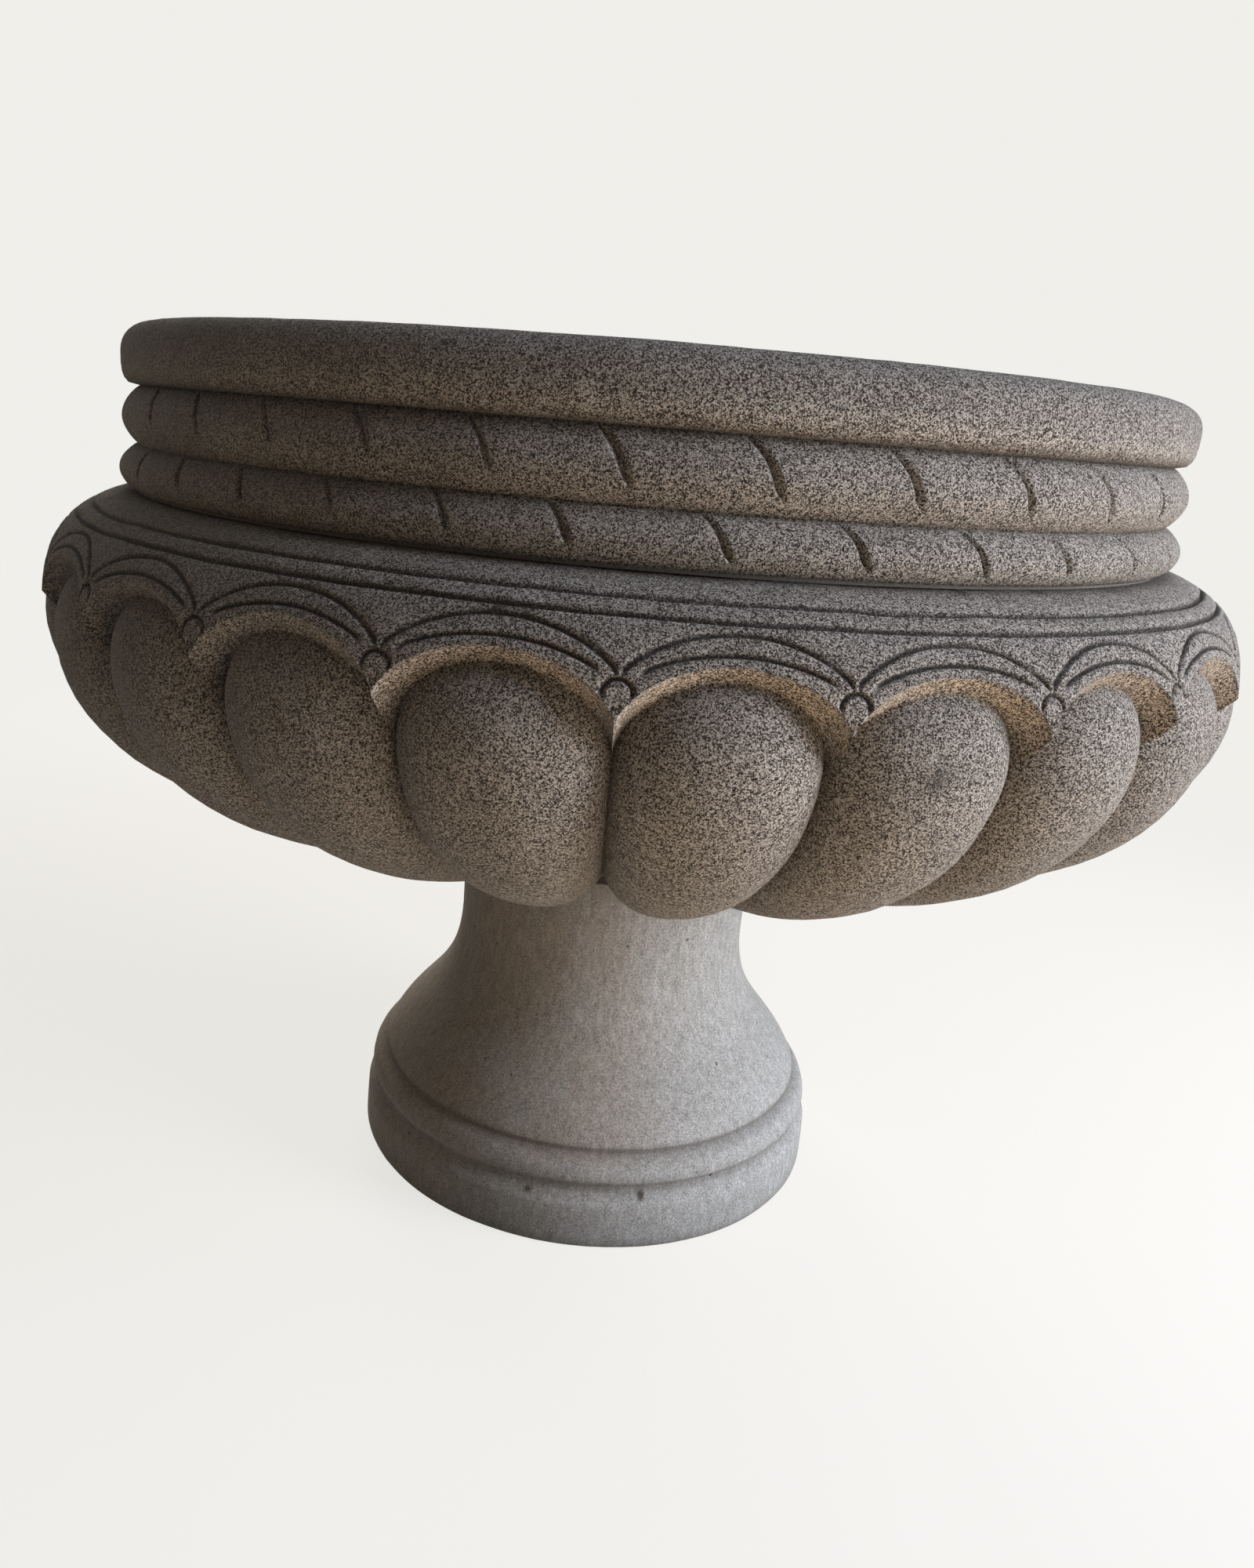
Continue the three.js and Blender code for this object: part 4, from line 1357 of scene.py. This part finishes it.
@dataclass
class Pedestal:
    """The turned limestone pedestal: drum, two grooves, bell and neck.

    Grooves and band are given as radius, bottom and top. Rain washes the lit side, at
    washed_and_lit_side degrees; brown staining on the shaded side also paints its warm shade.
    """

    foot_radius: float = 255.0
    arris: float = 4.0
    drum_height: float = 48.0
    broad_groove: tuple[float, float, float] = (246.0, 60.0, 68.0)
    band: tuple[float, float, float] = (250.0, 72.0, 88.0)
    band_taper: float = 4.0
    fine_groove: tuple[float, float, float] = (235.0, 96.0, 101.0)
    bell_handle: tuple[float, float] = (210.0, 155.0)
    neck_radius: float = 157.0
    neck_handle_height: float = 167.0
    neck_height: float = 264.0
    top_height: float = 350.0
    top_radius: float = 159.0
    bore: float = 30.0
    columns: int = 640
    washed_and_lit_side: float = 80.0
    marks: tuple[Mark, ...] = (
        Mark(15.2, 56.5, 3.8, 0.95),
        Mark(-10.9, 54.0, 3.6, 0.9),
        Mark(121.0, 97.0, 5.0, 0.7),
        Mark(204.0, 30.0, 6.0, 0.6),
    )
    hand: HandWork = field(default_factory=lambda: HandWork(seed=7))

    def outline(self) -> list[tuple[float, float, float]]:
        """Radius, height and darkening up the outside, from the ground to the top: grime with
        painted shade in the grooves and under the bowl, darker at the foot.
        """
        foot, groove, band, fine = self.foot_radius, self.broad_groove, self.band, self.fine_groove
        rows = [
            (foot - self.arris, 0.0, 0.5),
            (foot - 1.2, 1.2, 0.45),
            (foot, self.arris, 0.3),
            (foot, 14.0, 0.1),
            (foot - 0.4, 30.0, 0.0),
            (foot - 1.0, self.drum_height - 4, 0.0),
            (foot - 1.6, self.drum_height - 1.2, 0.0),
            (foot - 2.8, self.drum_height + 0.8, 0.0),
            (foot - 6.0, 54.0, 0.1),
            (groove[0] + 0.8, groove[1] - 2.0, 0.2),
            (groove[0], groove[1], 0.35),
            (groove[0] - 0.3, groove[2] - 3, 0.4),
            (groove[0] + 0.8, groove[2] - 0.5, 0.35),
            (band[0] - 1.2, band[1] - 1.5, 0.1),
            (band[0], band[1] + 1.0, 0.0),
            (band[0] - 1.2, 80.0, 0.0),
            (band[0] - self.band_taper + 0.4, band[2] - 2.5, 0.0),
            (band[0] - self.band_taper - 1.2, band[2], 0.0),
            (band[0] - self.band_taper - 5.0, band[2] + 3.4, 0.15),
            (fine[0] + 0.4, fine[1] - 0.8, 0.45),
            (fine[0] - 1.0, fine[1] + 1.4, 0.65),
            (fine[0] - 0.6, fine[2] - 1.2, 0.55),
            (fine[0] - 0.8, fine[2] + 1.0, 0.15),
        ]
        bell = Section.through(
            [
                (fine[0], fine[2]),
                self.bell_handle,
                (self.neck_radius, self.neck_handle_height),
                (self.neck_radius, self.neck_height),
            ]
        )
        for place in np.linspace(0, bell.length[-1], 40)[1:]:
            radius, height, *_ = bell.at(place)
            rows.append((float(radius), float(height), 0.0))
        rise = self.top_height - self.neck_height
        # painted shade under the bowl, darker towards the neck's top
        for share in np.linspace(0, 1, 14)[1:]:
            spread_out = (self.top_radius - self.neck_radius) * share**2
            height = self.neck_height + rise * share
            rows.append((self.neck_radius + spread_out, height, 0.35 * share**3))
        return rows

    def build(self) -> bpy.types.Object:
        """Builds the pedestal and dresses it.

        Returns:
            The pedestal.
        """
        skin = Skin()
        angle = np.linspace(0, 2 * math.pi, self.columns, endpoint=False)
        rings = []
        washed_and_lit = smooth(np.cos(angle - math.radians(self.washed_and_lit_side)) + 0.1)
        for radius, height, dirt_and_shade in self.outline():
            bare = on_ring(angle, radius, height)
            # brown staining with painted warm shade on the side away from the key lamp
            shelter_and_painted_light = (1 - washed_and_lit) * (0.4 if height < self.band[2] else 1.0)
            worn = self.hand.tooling(bare, (0.35, 40.0), (0.12, 9.0))
            inward = np.maximum(worn + 0.25, 0.0)
            spots = [mark.dirt_and_shade(angle, np.full_like(angle, height), radius) for mark in self.marks]
            points = on_ring(angle, radius - inward, height)
            rings.append(skin.ring(points, dirt_and_shade + sum(spots), shelter_and_painted_light))
        rings.append(skin.ring(on_ring(angle, self.bore, self.top_height), 0.3))
        rings.append(skin.ring(on_ring(angle, self.bore, 0.0), 0.3))
        skin.stack(rings, closed=True)
        return skin.piece("limestone_pedestal", LIMESTONE, Slot.PALE_STONE, "pedestal", sharp=50.0)


# ---------------------------------------------------------------- beds, dowels and drain


@dataclass
class MortarBed:
    """A ring of mortar between two stones, squeezed out unevenly at its edge."""

    name: str
    node: str
    inner: float
    outer: float
    bottom: float
    top: float
    ragged: float = 0.8
    columns: int = 240
    hand: HandWork = field(default_factory=lambda: HandWork(seed=3))

    def build(self) -> bpy.types.Object:
        """Builds the bed and dresses it.

        Returns:
            The bed.
        """
        skin = Skin()
        angle = np.linspace(0, 2 * math.pi, self.columns, endpoint=False)
        middle = (self.bottom + self.top) / 2
        rings = [skin.ring(on_ring(angle, self.inner, self.bottom))]
        for height in (self.bottom, middle, self.top):
            edge = on_ring(angle, self.outer, height)
            drawn_in = self.ragged * (0.5 + 0.5 * self.hand.unevenness(edge, 11.0))
            rings.append(skin.ring(on_ring(angle, self.outer - drawn_in, height)))
        rings.append(skin.ring(on_ring(angle, self.inner, self.top)))
        skin.stack(rings, closed=True)
        return skin.piece(self.name, MORTAR, Slot.MORTAR, self.node)


@dataclass
class Fixings:
    """The dowels and the drain sleeve, whose CAD solids keep their own shape."""

    dowel_prefixes: tuple[str, ...] = ("foot_dowel", "collar_dowel")
    sleeve: str = "drain_sleeve"

    def dress(self) -> None:
        """Gives each dowel and the sleeve its finish."""
        for name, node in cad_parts.items():
            if name.startswith(self.dowel_prefixes):
                self.finish_node(node, STAINLESS)
            elif name == self.sleeve:
                self.finish_node(node, POLYPROPYLENE)

    def finish_node(self, node: bpy.types.Object, finish: Finish) -> None:
        """Puts a finish on a CAD node."""
        node.data.materials.clear()
        node.data.materials.append(finish.material())
        log.info("%s: CAD solid, %s", node.name, finish.name)


# ---------------------------------------------------------------- studio


@dataclass(frozen=True)
class Lamp:
    """One soft box: a square area lamp that looks at a point."""

    name: str
    place: tuple[float, float, float]
    side: float
    power: float
    colour: str
    aim: tuple[float, float, float] = (0.0, 0.0, 0.45)

    def hang(self) -> None:
        """Adds the lamp to the scene, turned toward its aim."""
        data = bpy.data.lights.new(self.name, "AREA")
        data.shape, data.size = "SQUARE", self.side
        data.energy, data.color = self.power, linear(self.colour)[:3]
        lamp = bpy.data.objects.new(self.name, data)
        lamp.location = self.place
        lamp.visible_camera = False
        ahead = Vector(self.aim) - Vector(self.place)
        lamp.rotation_euler = ahead.to_track_quat("-Z", "Y").to_euler()
        bpy.context.scene.collection.objects.link(lamp)


@dataclass
class Studio:
    """Pale paper floor, soft boxes and a pale surround. Places are in metres."""

    floor_side: float = 14.0
    lamps: tuple[Lamp, ...] = (
        Lamp("key_soft_box", (2.55, -0.82, 1.0), 1.35, 70.5, "#eff3ff"),
        Lamp("front_soft_box", (1.4, -2.8, 0.5), 1.6, 2.5, "#fff1e0"),
        Lamp("top_soft_box", (1.9, -0.8, 2.2), 1.3, 28.0, "#d2e0ff"),
        Lamp("floor_soft_box", (0.6, -1.3, 0.02), 1.3, 9.0, "#ffe6cc", aim=(0.6, -1.3, 1.0)),
        Lamp("left_soft_box", (-2.4, -1.4, 0.5), 1.6, 2.2, "#ffdcb4"),
        Lamp("back_soft_box", (-0.9, 2.9, 1.3), 1.6, 45.0, "#fff4e8"),
    )
    surround: str = "#f0efeb"
    fill: str = "#ffeedd"
    fill_strength: float = 0.05

    def floor(self) -> None:
        """Lays the paper floor."""
        half = self.floor_side / 2
        mesh = bpy.data.meshes.new("paper_floor")
        corners = [(-half, -half, 0), (half, -half, 0), (half, half, 0), (-half, half, 0)]
        mesh.from_pydata(corners, [], [(0, 1, 2, 3)])
        mesh.materials.append(PAPER.material())
        floor = bpy.data.objects.new("paper_floor", mesh)
        bpy.context.scene.collection.objects.link(floor)

    def world(self) -> None:
        """Sets a weak even fill, and a pale surround for what looks straight at it."""
        world = bpy.data.worlds.new("studio_surround")
        world.use_nodes = True
        tree = world.node_tree
        tree.nodes.clear()
        weak = {"Color": linear(self.fill), "Strength": self.fill_strength}
        fill = add_node(tree, "Background", weak).outputs[0]
        surround = add_node(tree, "Background", {"Color": linear(self.surround)}).outputs[0]
        mixed = add_node(tree, "MixShader", {0: looked_at(tree), 1: fill, 2: surround})
        add_node(tree, "OutputWorld", {"Surface": mixed.outputs["Shader"]})
        bpy.context.scene.world = world

    def build(self) -> None:
        """Builds the floor, the lamps and the surround."""
        self.floor()
        for lamp in self.lamps:
            lamp.hang()
        self.world()
        bpy.context.scene.view_settings.view_transform = "Standard"
        log.info("studio: %d lamps", len(self.lamps))


@dataclass
class PhotoCamera:
    """The camera at the photograph's viewing angle. Its picture is 1600 by 2000."""

    place: tuple[float, float, float] = (0.0, -1.27744, 0.78719)
    yaw: float = -2.699
    pitch: float = -16.798
    roll: float = 4.609
    focal_pixels: float = 1543.9
    centre_x: float = 712.8
    picture: tuple[int, int] = (1600, 2000)
    sensor: float = 36.0

    def build(self) -> None:
        """Creates the camera and makes it the scene's."""
        yaw, pitch, roll = (math.radians(a) for a in (self.yaw, self.pitch, self.roll))
        ahead = Vector(
            (math.sin(yaw) * math.cos(pitch), math.cos(yaw) * math.cos(pitch), math.sin(pitch))
        )
        level = Vector((math.cos(yaw), -math.sin(yaw), 0.0))
        over = level.cross(ahead)
        side = math.cos(roll) * level + math.sin(roll) * over
        up = -math.sin(roll) * level + math.cos(roll) * over
        data = bpy.data.cameras.new("photo_camera")
        data.sensor_fit = "AUTO"
        data.sensor_width = self.sensor
        data.lens = self.focal_pixels / self.picture[1] * self.sensor
        data.shift_x = (self.picture[0] / 2 - self.centre_x) / self.picture[1]
        data.clip_start, data.clip_end = 0.02, 60.0
        camera = bpy.data.objects.new("photo_camera", data)
        turn = Matrix((side, up, -ahead)).transposed()
        camera.matrix_world = Matrix.Translation(self.place) @ turn.to_4x4()
        bpy.context.scene.collection.objects.link(camera)
        bpy.context.scene.camera = camera
        log.info("camera: %.2f mm lens, shift %.4f", data.lens, data.shift_x)


# ---------------------------------------------------------------- assembly


def main() -> None:
    """Builds the camera, the urn from the ground up and the studio."""
    logging.basicConfig(level=logging.INFO, format="%(name)s %(message)s")
    PhotoCamera().build()
    Pedestal().build()
    MortarBed("foot_mortar_bed", "pedestal_bed", 34.0, 150.0, 350.0, 354.0).build()
    Bowl().build()
    MortarBed("ring_mortar_bed", "collar_bed", 434.0, 489.0, 697.0, 700.0).build()
    RingCourse().build()
    Fixings().dress()
    Studio().build()


if __name__ == "__main__":
    main()
